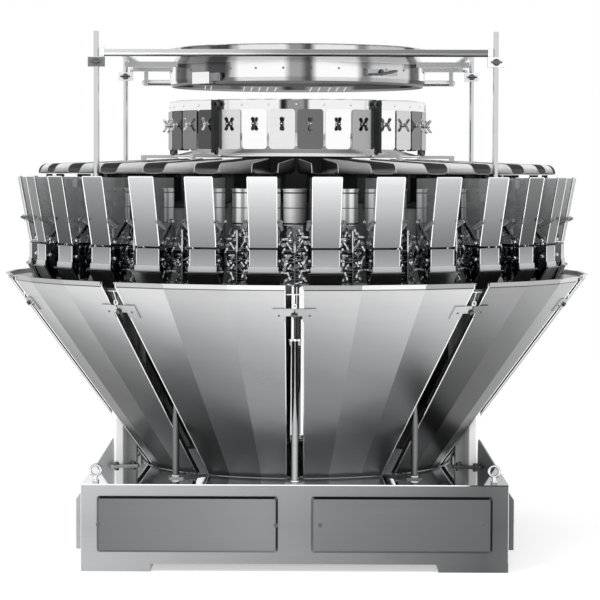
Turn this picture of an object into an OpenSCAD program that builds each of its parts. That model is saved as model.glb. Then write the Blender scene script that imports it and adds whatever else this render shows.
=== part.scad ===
// Multihead combination weigher with a ring of feed and weigh hoppers,
// a folded collecting chute under them and a round infeed drum above.

/* [Heads] */
// Number of collecting chute sections around the machine
section_count = 10; // [8:1:11]
// Number of weighing heads that each chute section serves
heads_per_section = 3; // [2:1:3]

/* [Base] */
// Width and depth of the square base
base_w = 1506; // [1460:1:1600]
// Height of the base housing above its foot plates
base_h = 282; // [260:1:340]
// Sheet thickness of the base housing
base_wall = 4; // [3:0.5:8]
// Side of each square foot plate
foot_w = 245; // [180:1:300]
// Thickness of each foot plate
foot_h = 28; // [15:1:60]
// Width of one front cover
cover_w = 638; // [500:1:660]
// Height of one front cover
cover_h = 198; // [120:1:230]
// How far a front cover stands proud of the base
cover_t = 12; // [6:1:30]
// Space between the two front covers
cover_gap = 117; // [60:1:160]
// Corner radius of a front cover
cover_corner = 10; // [4:1:30]
// Width of the bevel folded round a front cover
cover_bevel = 8; // [2:1:12]
// Length of each side box along the base
side_box_l = 1240; // [800:1:1300]
// Height of the outer face of a side box
side_box_h = 180; // [120:1:200]
// How far a side box stands out from the base
side_box_t = 30; // [15:1:60]
// Rise of the sloping top of a side box
side_box_slope = 40; // [10:1:45]
// Outer diameter of an eyebolt ring
eye_od = 48; // [36:1:60]
// Bar diameter of an eyebolt ring
eye_bar = 10; // [6:1:12]
// Height of an eyebolt shank below its ring
eye_neck = 19; // [10:1:40]

/* [Collecting chute] */
// Space between the feed hopper fronts and the chute rim
rim_space = 32; // [24:1:80]
// How far the foot of the chute lies inside the edge of the base
chute_inset = 177; // [163:1:213]
// Height of the chute from its foot to its rim
chute_h = 716; // [690:1:730]
// Height of the upright lip round the rim
chute_lip_h = 16; // [8:1:30]
// Sheet thickness of the chute and the hoppers
sheet_t = 3; // [2:0.5:5]
// Width of the gap between two chute sections
chute_gap = 60; // [54:1:80]
// Width of the flange folded in along each gap
chute_fold = 18; // [8:1:30]
// Width of a clip tab on the chute beside each gap
clip_w = 44; // [30:1:70]
// Length of a clip tab down the slope
clip_h = 56; // [40:1:80]
// Length down the slope of the tongue that reaches into the gap
tongue_h = 31; // [16:1:38]
// Thickness of a clip tab
clip_t = 4; // [3:0.5:8]
// Depth of the clips' upper edge below the rim
clip_drop = 80; // [50:1:120]
// Radius of the outlet spout
outlet_r = 250; // [180:1:320]
// Height of the outlet spout above the floor
outlet_z = 30; // [20:1:60]

/* [Legs and tie rods] */
// Radial depth of a leg
leg_depth = 90; // [70:1:110]
// Width of a leg across the gap
leg_w = 45; // [30:1:50]
// How far the middle of a leg lies inside the edge of the base
leg_inset = 78; // [70:1:90]
// Length of the rib at the foot of a leg
rib_l = 66; // [30:1:70]
// Height of the rib at the foot of a leg
rib_h = 96; // [40:1:140]
// Diameter of a tie rod
rod_d = 24; // [16:1:30]
// Length of the thick lower part of a tie rod
rod_l = 497; // [300:1:600]
// Diameter of the thin upper part of a tie rod
hook_d = 9; // [6:1:12]
// How far the tie rods lie inside the edge of the base
rod_inset = 26; // [18:1:40]
// Thickness of the pads under legs and rods
pad_t = 6; // [4:1:12]

/* [Body] */
// Radius of the central body
body_r = 800; // [780:1:810]
// Height of the underside of the body above the base
leg_h = 710; // [660:1:740]
// Height of the body
body_h = 280; // [240:1:300]
// Radius of the rounded top edge of the body
body_edge = 24; // [10:1:40]
// Diameter of a drive housing
drive_d = 82; // [60:1:90]
// Height of a drive housing
drive_h = 122; // [80:1:140]
// How far the middle of a drive housing lies outside the body
drive_reach = 50; // [45:1:56]
// Height of the drive housings' tops above the body
drive_rise = 46; // [30:1:60]

/* [Hoppers] */
// Width of a hopper at its top
hopper_w = 101; // [90:1:108]
// Width of a hopper at its bottom
hopper_foot_w = 94; // [80:1:100]
// Space between the body and the hopper backs
hanger_reach = 120; // [110:1:140]
// Depth of a hopper from its back to the foot of its front
hopper_depth = 95; // [80:1:120]
// How far the front of a feed hopper leans out
hopper_flare = 43; // [20:1:60]
// Height of the feed hopper tops above the body
hopper_rise = 91; // [80:1:110]
// Height of a feed hopper
feed_h = 240; // [200:1:240]
// Gap between a feed hopper and the weigh hopper under it
hopper_gap = 7; // [5:1:20]
// Height of the upright wall of a weigh hopper
weigh_wall_h = 58; // [40:1:80]
// Height of the gates of a weigh hopper
weigh_gate_h = 84; // [60:1:100]
// Height of the lip of a weigh hopper gate
weigh_lip = 26; // [10:1:34]
// How far a weigh hopper gate reaches past each side of its hopper
gate_over = 10; // [4:1:14]
// Thickness of the gate levers on the hopper sides
lever_t = 5; // [3:0.5:6]

/* [Feeders] */
// How far the feeder pans reach in under the dispersion cone
pan_lap = 12; // [6:1:30]
// How far the feeder pans reach out over the hoppers
pan_reach = 60; // [40:1:80]
// Space between neighbouring pans at their inner ends
pan_gap = 4; // [3:1:16]
// Depth of a feeder pan
pan_h = 56; // [40:1:70]
// Height of a feeder pan floor above the hopper tops
pan_lift = 10; // [6:1:20]
// Corner radius of a feeder pan
pan_corner = 22; // [10:1:30]
// Radius of the rounded outer end of a pan's side walls
pan_round = 32; // [20:1:36]
// Fall of a pan's side walls from the inner to the outer end
pan_fall = 20; // [6:1:22]
// Radius of the dispersion cone
cone_r = 476; // [450:1:520]
// Rise of the dispersion cone
cone_rise = 120; // [60:1:160]
// Space between the rim of the cone and the gate plates
gate_space = 9; // [6:1:20]
// Width of one gate plate
gate_w = 94; // [80:1:98]
// Height of one gate plate
gate_h = 144; // [100:1:160]
// Thickness of a gate plate
gate_t = 3; // [2:0.5:5]
// Height of the gate plates' lower edge above the pan rims
gate_lift = 34; // [25:1:60]
// Height of the collar that the gate plates hang on
collar_h = 120; // [80:1:140]
// Height of the collar above the gate plates
collar_rise = 34; // [20:1:60]
// Spread of a wing knob's wings away from its plate, in degrees
wing_spread = 35; // [20:1:50]

/* [Infeed] */
// How far the infeed posts stand outside the body
post_reach = 150; // [140:1:160]
// Diameter of an infeed post
post_d = 20; // [16:1:30]
// Length of an infeed post
post_h = 522; // [500:1:600]
// Diameter of the infeed frame tubes
tube_d = 26; // [20:1:34]
// Depth of the frame tubes below the top of the drum
tube_drop = 44; // [30:1:54]
// Depth of the lower back tube below the other frame tubes
low_tube_drop = 57; // [40:1:70]
// Radius of the infeed drum
drum_r = 485; // [460:1:510]
// Height of the infeed drum with its hem
drum_h = 144; // [130:1:180]
// Space between the gate collar and the drum
drum_space = 59; // [56:1:80]
// Height of the drawn-in hem under the drum
drum_hem = 23; // [12:1:30]
// How far the hem is drawn in at its lower edge
hem_in = 9; // [4:1:14]
// How far the neck of the drum is drawn in
neck_in = 20; // [8:1:30]
// Width of the rim round the top of the drum
rim_w = 22; // [8:1:32]
// Wall thickness of the infeed drum
drum_t = 3; // [2:0.5:6]

/* [Hidden] */
$fn = 96;
head_count = section_count * heads_per_section;
pitch = 360 / head_count;
section_pitch = 360 / section_count;
fit = 0.3;

// Base: the funnel flange lies on the top plate, and the chute stands on the flange.
base_top_z = foot_h + base_h;
flange_t = 2;
flange_w = 24;
flange_lap = 10;
spout_h = 30;
plate_lap = 4;
chute_foot_r = base_w / 2 - chute_inset;
funnel_r = chute_foot_r - flange_lap;
eye_inset = eye_od;

// Legs and tie rods
leg_r = base_w / 2 - leg_inset;
rod_r = base_w / 2 - rod_inset;
leg_corner = 6;
leg_pad_side = 25;
leg_pad_end = 10;
leg_pad_out = 8;
leg_pad_corner = 8;
rib_t = 8;
rod_pad_w = 34;
pad_space = 6;
fork_w = 38;
fork_h = 14;
// Gaps 2 and 3 on each side carry a leg, the other gaps a tie rod.
leg_gaps = [2, 3, section_count - 3, section_count - 2];
rod_gaps = [for (i = [0 : section_count - 1]) if (len(search(i, leg_gaps)) == 0) i];

// Body and drives
body_z = base_top_z + leg_h;
body_top_z = body_z + body_h;
drive_r = body_r + drive_reach;
drive_top_z = body_top_z + drive_rise;
drive_z = drive_top_z - drive_h;
cap_t = 4;
cap_lip = 3;
gearbox_w = 56;
gearbox_h = 30;
crank_d = 26;
crank_t = 16;
crank_x = 16;
pin_d = 8;
push_rod_d = 9;
crank_fall = 48;
pin_fall = 84;
push_rod_fall = 136;
arm_t = 8;
arm_h = 22;

// Hoppers: the backs hang outside the body, and the fronts lean out from their foot.
hopper_back_r = body_r + hanger_reach;
feed_foot_r = hopper_back_r + hopper_depth;
feed_front_r = feed_foot_r + hopper_flare;
weigh_front_r = feed_foot_r;
feed_top_z = body_top_z + hopper_rise;
feed_foot_z = feed_top_z - feed_h;
weigh_top_z = feed_foot_z - hopper_gap;
weigh_wall_z = weigh_top_z - weigh_wall_h;
weigh_foot_z = weigh_wall_z - weigh_gate_h;
wall_inset_z = 4;
gate_fit = 1;
gate_seat = 2;
flap_front = 8;
flap_rise = 18;
flap_low = 6;
foot_half = 10;
leaf_drop = 2;
hanger_w = 30;
feed_hanger_drop = 110;
feed_hanger_h = 24;
weigh_hanger_drop = 40;
weigh_hanger_h = 30;
link_end = 9;
link_waist = 5;
link_in = 8;

// Chute: the facets run from the funnel flange up to the lip.
chute_foot_z = base_top_z + flange_t;
chute_rim_r = feed_front_r + rim_space;
chute_rim_z = chute_foot_z + chute_h;
chute_lip_z = chute_rim_z - chute_lip_h;
chute_run = chute_rim_r - chute_foot_r;
chute_climb = chute_lip_z - chute_foot_z;
chute_lean = atan(chute_run / chute_climb);
chute_turn = 10;
clip_slot = 6;

// Feeders: the pans run from under the cone to over the hoppers.
pan_in_r = cone_r - pan_lap;
pan_out_r = hopper_back_r + pan_reach;
pan_floor_z = feed_top_z + pan_lift;
pan_top_z = pan_floor_z + pan_h;
pan_w = 2 * pan_in_r * sin(pitch / 2) - pan_gap;
motor_w = 46;
motor_l = 190;
motor_inset = 6;
pedestal_r = 210;
cone_space = 8;
cone_rim = 4;
cone_z = pan_top_z + cone_space;

// Gate ring
gate_r = cone_r + gate_space;
gate_z = pan_top_z + gate_lift;
gate_top_z = gate_z + gate_h;
gate_corner = 12;
collar_top_z = gate_top_z + collar_rise;
knob_place = 0.63;
knob_d = 14;
knob_h = 15;
wing_l = 22;
wing_d = 13;
wing_root = 6;
wing_t = 5;
upright_every = 2;
upright_space = 3;
upright_w = 28;
upright_t = 12;
upright_reach = 155;
upright_foot_r = gate_r + upright_reach;
upright_leg = 18;
upright_beam = 12;
upright_lift = 4;
upright_tab = 26;

// Infeed: the posts stand between heads, on brackets that reach out over the drives.
post_r = body_r + post_reach;
post_step = 4;
post_az = post_step * pitch;
post_x = post_r * sin(post_az);
post_y = post_r * cos(post_az);
bracket_w = 40;
bracket_t = 30;
bracket_end = 26;
bracket_back = 120;
bracket_space = 2;
bracket_z = drive_top_z + cap_t + bracket_space;
post_foot_z = bracket_z + bracket_t;
drum_z = collar_top_z + drum_space;
drum_top_z = drum_z + drum_h;
neck_z = 0.55 * drum_h;
neck_rise = 0.22 * drum_h;
tube_z = drum_top_z - tube_drop;
clamp_h = 34;
clamp_w = 58;
clamp_space = 2;
clamp_top_z = tube_z - tube_d / 2 - clamp_space;
ear_t = 12;
side_tube_inset = 86;
side_tube_x = post_x - side_tube_inset;
side_tube_d = 0.8 * tube_d;
low_tube_end = 10;
strap_w = 16;
strap_l = 24;
drum_arm_h = 20;
drum_arm_w = 30;
drum_arm_y = 180;
latch_w = 90;
latch_h = 42;
latch_out = 20;
latch_lift = 2;
latch_az = -44;
lever_w = 140;
lever_h = 22;
lever_out = 14;
lever_lift = 32;
lever_az = 39;

// Copies of a piece at every head, whose centre lies half a pitch past a gap.
module at_heads() {
    for (i = [0 : head_count - 1]) rotate([0, 0, (i + 0.5) * pitch]) children();
}

// Copies of a piece between the heads.
module between_heads() {
    for (i = [0 : head_count - 1]) rotate([0, 0, i * pitch]) children();
}

// Copies of a piece at the listed gaps between chute sections.
module at_gaps(gaps) {
    for (i = gaps) rotate([0, 0, i * section_pitch]) children();
}

// Copies of a piece at the four corners of a rectangle.
module at_corners(x, y) {
    for (sx = [-1, 1], sy = [-1, 1]) translate([sx * x, sy * y, 0]) children();
}

// A sheet set across the machine: its outline is drawn as [distance from the axis, height].
module radial_sheet(thick, points) {
    rotate([90, 0, -90]) linear_extrude(thick, center = true) polygon(points);
}

// A rectangle with rounded corners.
module round_rect(w, h, r) {
    square([w - 2 * r, h], center = true);
    square([w, h - 2 * r], center = true);
    for (sx = [-1, 1], sy = [-1, 1]) translate([sx * (w / 2 - r), sy * (h / 2 - r)]) circle(r, $fn = 32);
}

module base_walls() {
    color("silver") {
        for (s = [-1, 1]) {
            translate([0, s * (base_w - base_wall) / 2, foot_h + base_h / 2 - base_wall / 2])
                cube([base_w, base_wall, base_h - base_wall], center = true);
            translate([s * (base_w - base_wall) / 2, 0, foot_h + base_h / 2 - base_wall / 2])
                cube([base_wall, base_w - 2 * base_wall - 2 * fit, base_h - base_wall], center = true);
        }
    }
}

module base_top_plate() {
    color("silver") translate([0, 0, base_top_z - base_wall]) linear_extrude(base_wall) difference() {
        square(base_w, center = true);
        circle(funnel_r + plate_lap);
    }
}

module foot_plates() {
    color("silver") at_corners((base_w - foot_w) / 2, (base_w - foot_w) / 2)
        translate([0, 0, foot_h / 2]) cube([foot_w, foot_w, foot_h], center = true);
}

module front_covers() {
    color("lightgray") for (s = [-1, 1])
        translate([s * (cover_gap + cover_w) / 2, -base_w / 2, foot_h + base_h / 2]) rotate([90, 0, 0]) hull() {
            linear_extrude(cover_t - cover_bevel) round_rect(cover_w, cover_h, cover_corner);
            linear_extrude(cover_t)
                round_rect(cover_w - 2 * cover_bevel, cover_h - 2 * cover_bevel, cover_corner);
        }
}

module side_boxes() {
    z0 = foot_h + (base_h - side_box_h - side_box_slope) / 2;
    color("silver") for (s = [0, 1]) mirror([s, 0, 0])
        translate([base_w / 2, side_box_l / 2, z0]) rotate([90, 0, 0]) linear_extrude(side_box_l)
            polygon([[0, 0], [side_box_t, 0], [side_box_t, side_box_h], [0, side_box_h + side_box_slope]]);
}

module eyebolts() {
    place = base_w / 2 - eye_inset;
    color("gray") at_corners(place, place) translate([0, 0, base_top_z]) {
        cylinder(d = 2.4 * eye_bar, h = eye_neck / 2);
        cylinder(d = 1.4 * eye_bar, h = eye_neck + eye_bar / 2);
        translate([0, 0, eye_neck + eye_od / 2]) rotate([90, 0, 0]) rotate_extrude()
            translate([(eye_od - eye_bar) / 2, 0]) circle(d = eye_bar, $fn = 24);
    }
}

module collecting_funnel() {
    top_r = funnel_r - flange_t;
    neck_top = base_top_z - base_wall - plate_lap;
    color("silver") rotate_extrude() polygon([
        [top_r, chute_foot_z], [funnel_r + flange_w, chute_foot_z], [funnel_r + flange_w, base_top_z],
        [funnel_r, base_top_z], [funnel_r, neck_top],
        [outlet_r + flange_t, outlet_z + spout_h], [outlet_r + flange_t, outlet_z],
        [outlet_r, outlet_z], [outlet_r, outlet_z + spout_h],
        [top_r, neck_top]
    ]);
}

// The folded sheet of the chute as [distance from the axis, height], from its foot up the
// outer face, round the turned rim and down the inner face.
chute_skin = sheet_t / cos(chute_lean);
chute_profile = [
    [chute_foot_r, chute_foot_z], [chute_rim_r, chute_lip_z], [chute_rim_r, chute_rim_z - sheet_t],
    [chute_rim_r + chute_turn, chute_rim_z - sheet_t], [chute_rim_r + chute_turn, chute_rim_z],
    [chute_rim_r - chute_skin, chute_rim_z], [chute_rim_r - chute_skin, chute_lip_z],
    [chute_foot_r - chute_skin, chute_foot_z]
];

// Distance from the axis, along a gap's own azimuth, of a flat that lies r from the axis,
// measured where the flat is x to the side of the gap.
function beside_gap(r, x) = (r - x * sin(pitch / 2)) / cos(pitch / 2);

// Point p turned about the axis.
function turned(p, a) = [p[0] * cos(a) - p[1] * sin(a), p[0] * sin(a) + p[1] * cos(a)];

// Where the profile point [r, z] lies at fold line k of a section: at the first and the last
// line the sheet is cut parallel to the gap, and between them the flats meet.
function fold_point(k, p) =
    let (
        g = chute_gap / 2, edge = beside_gap(p[0], g),
        xy = k == 0 ? [g, -edge]
            : k == heads_per_section ? turned([-g, -edge], section_pitch)
            : turned([0, -p[0] / cos(pitch / 2)], k * pitch)
    ) [xy[0], xy[1], p[1]];

module chute_section() {
    n = len(chute_profile);
    points = [for (k = [0 : heads_per_section]) for (p = chute_profile) fold_point(k, p)];
    sides = [for (k = [0 : heads_per_section - 1]) for (i = [0 : n - 1])
        [k * n + i, k * n + (i + 1) % n, (k + 1) * n + (i + 1) % n, (k + 1) * n + i]];
    ends = [[for (i = [n - 1 : -1 : 0]) i], [for (i = [0 : n - 1]) heads_per_section * n + i]];
    polyhedron(points, concat(sides, ends));
}

module chute_sections() {
    color("gainsboro") for (i = [0 : section_count - 1]) rotate([0, 0, i * section_pitch]) chute_section();
}

module chute_stiffeners() {
    x = chute_gap / 2 + sheet_t;
    r0 = beside_gap(chute_foot_r - chute_skin, x) - fit / 2;
    r1 = beside_gap(chute_rim_r - chute_skin, x) - fit / 2;
    color("silver") at_gaps([0 : section_count - 1]) for (s = [-1, 1]) translate([s * (x - sheet_t / 2), 0, 0])
        radial_sheet(sheet_t, [
            [r0 - chute_fold, chute_foot_z], [r0, chute_foot_z], [r1, chute_lip_z], [r1 - chute_fold, chute_lip_z]
        ]);
}

// A clip tab in the plane of the facet beside a gap, as [across, up the slope] from its lower
// edge at the distance r: the inner part of it reaches into the gap as a tongue.
function tab_x(x, r, up) = (x - (r + up * sin(chute_lean)) * sin(pitch / 2)) / cos(pitch / 2);
function tab_outline(r) =
    let (g = chute_gap / 2, low = clip_h - tongue_h)
    [for (p = [[g, 0], [g + clip_w, 0], [g + clip_w, clip_h],
            [clip_slot / 2, clip_h], [clip_slot / 2, low], [g, low]])
        [tab_x(p[0], r, p[1]), p[1]]];

module chute_clips() {
    z = chute_rim_z - clip_drop - clip_h * cos(chute_lean);
    r = chute_rim_r - (chute_lip_z - z) * tan(chute_lean);
    color("white") at_gaps([0 : section_count - 1]) for (m = [0, 1]) mirror([m, 0, 0]) rotate([0, 0, pitch / 2])
        translate([0, -r, z]) rotate([90 + chute_lean, 0, 0]) linear_extrude(clip_t) polygon(tab_outline(r));
}

module legs() {
    color("whitesmoke") at_gaps(leg_gaps) translate([0, -leg_r, base_top_z + pad_t])
        linear_extrude(body_z - base_top_z - pad_t) round_rect(leg_w, leg_depth, leg_corner);
}

module leg_pads() {
    foot = base_top_z + pad_t;
    face = leg_r + leg_depth / 2;
    edge = leg_r + leg_pad_out + leg_depth / 2 + leg_pad_end;
    color("silver") at_gaps(leg_gaps) {
        translate([0, -leg_r - leg_pad_out, base_top_z]) linear_extrude(pad_t)
            round_rect(leg_w + 2 * leg_pad_side, leg_depth + 2 * leg_pad_end, leg_pad_corner);
        radial_sheet(rib_t, [
            [face, foot], [edge - leg_pad_corner, foot], [edge - leg_pad_corner, base_top_z],
            [face + rib_l, base_top_z], [face, foot + rib_h]
        ]);
    }
}

module tie_rods() {
    foot = base_top_z + pad_t;
    top = foot + rod_l;
    color("silver") at_gaps(rod_gaps) translate([0, -rod_r, 0]) {
        translate([0, 0, foot]) cylinder(d = rod_d, h = rod_l);
        translate([0, 0, top]) cylinder(d = hook_d, h = body_z - top, $fn = 32);
        translate([-fork_w / 2, -hook_d / 2, top - fork_h]) cube([fork_w, hook_d, fork_h]);
    }
}

module rod_pads() {
    inner = funnel_r + flange_w + pad_space - rod_r;
    w = rod_pad_w;
    color("silver") at_gaps(rod_gaps) translate([0, -rod_r, base_top_z]) linear_extrude(pad_t)
        polygon([[-w, -inner], [w, -inner], [w, 0], [w - rod_inset + fit, -rod_inset + fit],
            [-w + rod_inset - fit, -rod_inset + fit], [-w, 0]]);
}

module body_casing() {
    color("dimgray") translate([0, 0, body_z]) rotate_extrude() {
        square([body_r - body_edge, body_h]);
        square([body_r, body_h - body_edge]);
        translate([body_r - body_edge, body_h - body_edge]) circle(body_edge, $fn = 32);
    }
}

module drive_housings() {
    color("lightgray") between_heads() difference() {
        translate([0, -drive_r, drive_z]) {
            cylinder(d = drive_d, h = drive_h, $fn = 48);
            translate([0, 0, drive_h]) cylinder(d = drive_d + 2 * cap_lip, h = cap_t, $fn = 48);
        }
        translate([-drive_d, -body_r - fit, drive_z - 1]) cube([2 * drive_d, drive_d, drive_h + cap_t + 2]);
    }
}

// Under each drive: its gearbox, two cranks, the arm between them, a cross pin and the push rod.
module drive_levers() {
    face = body_r + fit;
    front = drive_r + drive_d / 2;
    crank_z = drive_z - crank_fall;
    color("gray") between_heads() {
        translate([-gearbox_w / 2, -front + cap_lip, drive_z - gearbox_h - fit])
            cube([gearbox_w, front - cap_lip - face, gearbox_h]);
        radial_sheet(arm_t, [
            [face, drive_z - gearbox_h], [front, drive_z - gearbox_h], [front + arm_h, crank_z - crank_d],
            [front + arm_h, drive_z - pin_fall - arm_h], [front, drive_z - pin_fall - arm_h],
            [face, crank_z - crank_d]
        ]);
        for (s = [-1, 1]) translate([s * crank_x, -front + crank_t, crank_z]) rotate([90, 0, 0])
            cylinder(d = crank_d, h = 2 * crank_t, $fn = 32);
        translate([0, -front - arm_h / 2, drive_z - pin_fall]) rotate([0, 90, 0])
            cylinder(d = pin_d, h = 2.2 * crank_d, center = true, $fn = 24);
        translate([0, -front - arm_h, drive_z - push_rod_fall])
            cylinder(d = push_rod_d, h = push_rod_fall - gearbox_h, $fn = 24);
    }
}

// Distance from the axis to a feed hopper's front at a height.
function feed_r(z) = feed_foot_r + (feed_front_r - feed_foot_r) * (z - feed_foot_z) / feed_h;

module feed_hopper_fronts() {
    lean = atan((feed_front_r - feed_foot_r) / feed_h);
    run = feed_h / cos(lean);
    color("gainsboro") at_heads() translate([0, -feed_foot_r, feed_foot_z]) rotate([90 + lean, 0, 0])
        translate([0, 0, -sheet_t]) linear_extrude(sheet_t) polygon([
            [-hopper_foot_w / 2, 0], [hopper_foot_w / 2, 0], [hopper_w / 2, run], [-hopper_w / 2, run]
        ]);
}

module feed_hopper_sides() {
    inset = (hopper_foot_w - sheet_t) / 2;
    low = feed_foot_z + wall_inset_z;
    high = feed_top_z - wall_inset_z;
    back = hopper_back_r + sheet_t + fit;
    skin = 1.1 * sheet_t;
    color("silver") at_heads() for (s = [-1, 1]) translate([s * inset, 0, 0]) radial_sheet(sheet_t, [
        [back, low], [feed_r(low) - skin, low], [feed_r(high) - skin, high], [back, high]
    ]);
}

module feed_hopper_backs() {
    color("silver") at_heads() translate([0, -hopper_back_r - sheet_t / 2, (feed_foot_z + feed_top_z) / 2])
        cube([hopper_foot_w, sheet_t, feed_h - 2 * wall_inset_z], center = true);
}

module feed_hopper_gates() {
    w = hopper_foot_w - 2 * sheet_t - 2 * gate_fit;
    front = [feed_foot_r - flap_front, feed_foot_z + flap_low + flap_rise];
    back = [hopper_back_r + sheet_t + flap_low, feed_foot_z + flap_low];
    color("silver") at_heads() radial_sheet(w, [front, back, back + [0, sheet_t], front + [0, sheet_t]]);
}

module weigh_hopper_fronts() {
    color("gainsboro") at_heads() translate([0, -weigh_front_r, weigh_wall_z]) rotate([90, 0, 0])
        translate([0, 0, -sheet_t]) linear_extrude(sheet_t)
            translate([-hopper_foot_w / 2, 0]) square([hopper_foot_w, weigh_wall_h]);
}

module weigh_hopper_sides() {
    inset = (hopper_foot_w - sheet_t) / 2;
    front = weigh_front_r - sheet_t - fit;
    back = hopper_back_r + sheet_t + fit;
    mid = (front + back) / 2;
    color("silver") at_heads() for (s = [-1, 1]) translate([s * inset, 0, 0]) radial_sheet(sheet_t, [
        [back, weigh_top_z], [front, weigh_top_z], [front, weigh_wall_z],
        [mid + foot_half, weigh_foot_z], [mid - foot_half, weigh_foot_z], [back, weigh_wall_z]
    ]);
}

module weigh_hopper_backs() {
    color("silver") at_heads() translate([0, -hopper_back_r - sheet_t / 2, weigh_top_z - weigh_wall_h / 2])
        cube([hopper_foot_w, sheet_t, weigh_wall_h], center = true);
}

// Two leaves close the foot of a weigh hopper: the front one is wider than the hopper and
// turns up into a lip in front of it, and the back one lies between the sides.
module weigh_hopper_gates() {
    front = weigh_front_r - sheet_t - fit;
    back = hopper_back_r + sheet_t + fit + gate_seat;
    mid = (front + back - gate_seat) / 2;
    turn = weigh_wall_z - weigh_lip;
    out = [weigh_front_r + fit, turn];
    tip = [mid + foot_half + sheet_t, weigh_foot_z - leaf_drop];
    lap = weigh_front_r + fit;
    color("silver") at_heads() {
        radial_sheet(hopper_foot_w + gate_over, [
            [lap, weigh_wall_z], [lap + sheet_t, weigh_wall_z], [lap + 2 * sheet_t, turn], [lap, turn]
        ]);
        radial_sheet(hopper_foot_w + 2 * gate_over, [
            out, out + [2 * sheet_t, 0], tip + [2 * sheet_t, 0], tip + [sheet_t, 0]
        ]);
        radial_sheet(hopper_foot_w - 2 * sheet_t - 2 * gate_fit, [
            [mid - foot_half, weigh_foot_z + gate_seat], [mid - foot_half + sheet_t, weigh_foot_z + gate_seat],
            [back + sheet_t, weigh_wall_z - gate_seat], [back, weigh_wall_z - gate_seat]
        ]);
    }
}

// The outline of a flat link with round ends between two points of [distance from the axis, height].
module link_outline(a, b) {
    along = (b - a) / norm(b - a);
    side = [-along[1], along[0]] * link_waist;
    for (p = [a, b]) translate(p) circle(link_end, $fn = 32);
    polygon([a - side, b - side, b + side, a + side]);
}

// Levers that open the gates, flat on the outer faces of the hopper sides.
module gate_levers() {
    out = hopper_foot_w / 2;
    back = hopper_back_r + link_end + link_in;
    front = feed_foot_r - link_end - link_in;
    feed_low = feed_foot_z + wall_inset_z + link_end;
    feed_high = feed_low + 0.3 * feed_h;
    weigh_low = weigh_wall_z + link_end + gate_fit;
    color("silver") at_heads() for (s = [-1, 1]) translate([s * (out + lever_t / 2), 0, 0])
        rotate([90, 0, -90]) linear_extrude(lever_t, center = true) {
            link_outline([front, feed_low], [back, feed_high]);
            link_outline([front, weigh_low + link_end], [back, weigh_low]);
        }
}

module hopper_hangers() {
    front = hopper_back_r - fit;
    reach = front - body_r - fit;
    color("gray") at_heads() {
        translate([-hanger_w / 2, -front, feed_top_z - feed_hanger_drop]) cube([hanger_w, reach, feed_hanger_h]);
        translate([-hanger_w / 2, -front, weigh_top_z - weigh_hanger_drop])
            cube([hanger_w, reach, weigh_hanger_h]);
    }
}

// The side walls of a pan fall a little towards the hopper and end in a round corner.
module pan_side() {
    top = pan_top_z - pan_fall;
    end = pan_out_r;
    rotate([90, 0, -90]) linear_extrude(pan_w + 2, center = true) {
        polygon([
            [pan_in_r - 1, pan_floor_z - 1], [end, pan_floor_z - 1], [end, top - pan_round],
            [end - pan_round, top], [pan_in_r - 1, pan_top_z]
        ]);
        translate([end - pan_round, top - pan_round]) circle(pan_round, $fn = 64);
    }
}

module feeder_pans() {
    mid = pan_floor_z + pan_h;
    color("lightgray") at_heads() intersection() {
        translate([0, -pan_in_r, 0]) rotate([90, 0, 0]) linear_extrude(pan_out_r - pan_in_r) difference() {
            translate([0, mid]) round_rect(pan_w, 2 * pan_h, pan_corner);
            translate([0, mid]) round_rect(pan_w - 2 * sheet_t, 2 * (pan_h - sheet_t), pan_corner - sheet_t);
        }
        pan_side();
    }
}

module feeder_drives() {
    color("dimgray") at_heads() translate([-motor_w / 2, -body_r + body_edge + motor_inset, body_top_z])
        cube([motor_w, motor_l, pan_floor_z - body_top_z]);
}

module cone_pedestal() {
    color("dimgray") translate([0, 0, body_top_z]) cylinder(r = pedestal_r, h = cone_z - body_top_z);
}

module dispersion_cone() {
    color("silver") translate([0, 0, cone_z]) rotate_extrude()
        polygon([[0, 0], [cone_r, 0], [cone_r, cone_rim], [0, cone_rise]]);
}

module gate_collar() {
    color("whitesmoke") translate([0, 0, collar_top_z - collar_h]) rotate_extrude()
        translate([gate_r - sheet_t, 0]) square([sheet_t, collar_h]);
}

module gate_plates() {
    color("lightgray") at_heads() translate([0, -gate_r, gate_z + gate_h / 2]) rotate([90, 0, 0])
        linear_extrude(gate_t) round_rect(gate_w, gate_h, gate_corner);
}

// A hub with two drop-shaped wings that spread away from the plate.
module wing_knobs() {
    color("black") at_heads() translate([0, -gate_r - gate_t, gate_z + knob_place * gate_h]) rotate([90, 0, 0]) {
        cylinder(d = knob_d, h = knob_h, $fn = 24);
        for (a = [0, 180]) rotate([0, 0, a]) translate([0, 0, knob_h / 2]) rotate([wing_spread, 0, 0])
            translate([0, 0, -wing_t / 2]) linear_extrude(wing_t) {
                translate([0, wing_l]) circle(d = wing_d, $fn = 24);
                polygon([[-wing_root / 2, 0], [wing_root / 2, 0], [wing_d / 2, wing_l], [-wing_d / 2, wing_l]]);
            }
    }
}

module gate_uprights() {
    inner = gate_r + gate_t + upright_space;
    outer = inner + upright_w;
    low = pan_top_z + upright_lift;
    beam = low + upright_beam;
    foot = upright_foot_r;
    color("black") at_gaps([1 : upright_every : section_count - 1]) radial_sheet(upright_t, [
        [inner, low], [foot - upright_leg, low], [foot - upright_leg, body_top_z], [foot, body_top_z],
        [foot, beam], [outer, beam], [outer, collar_top_z],
        [gate_r, collar_top_z], [gate_r, collar_top_z - upright_tab], [inner, collar_top_z - upright_tab]
    ]);
}

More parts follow.
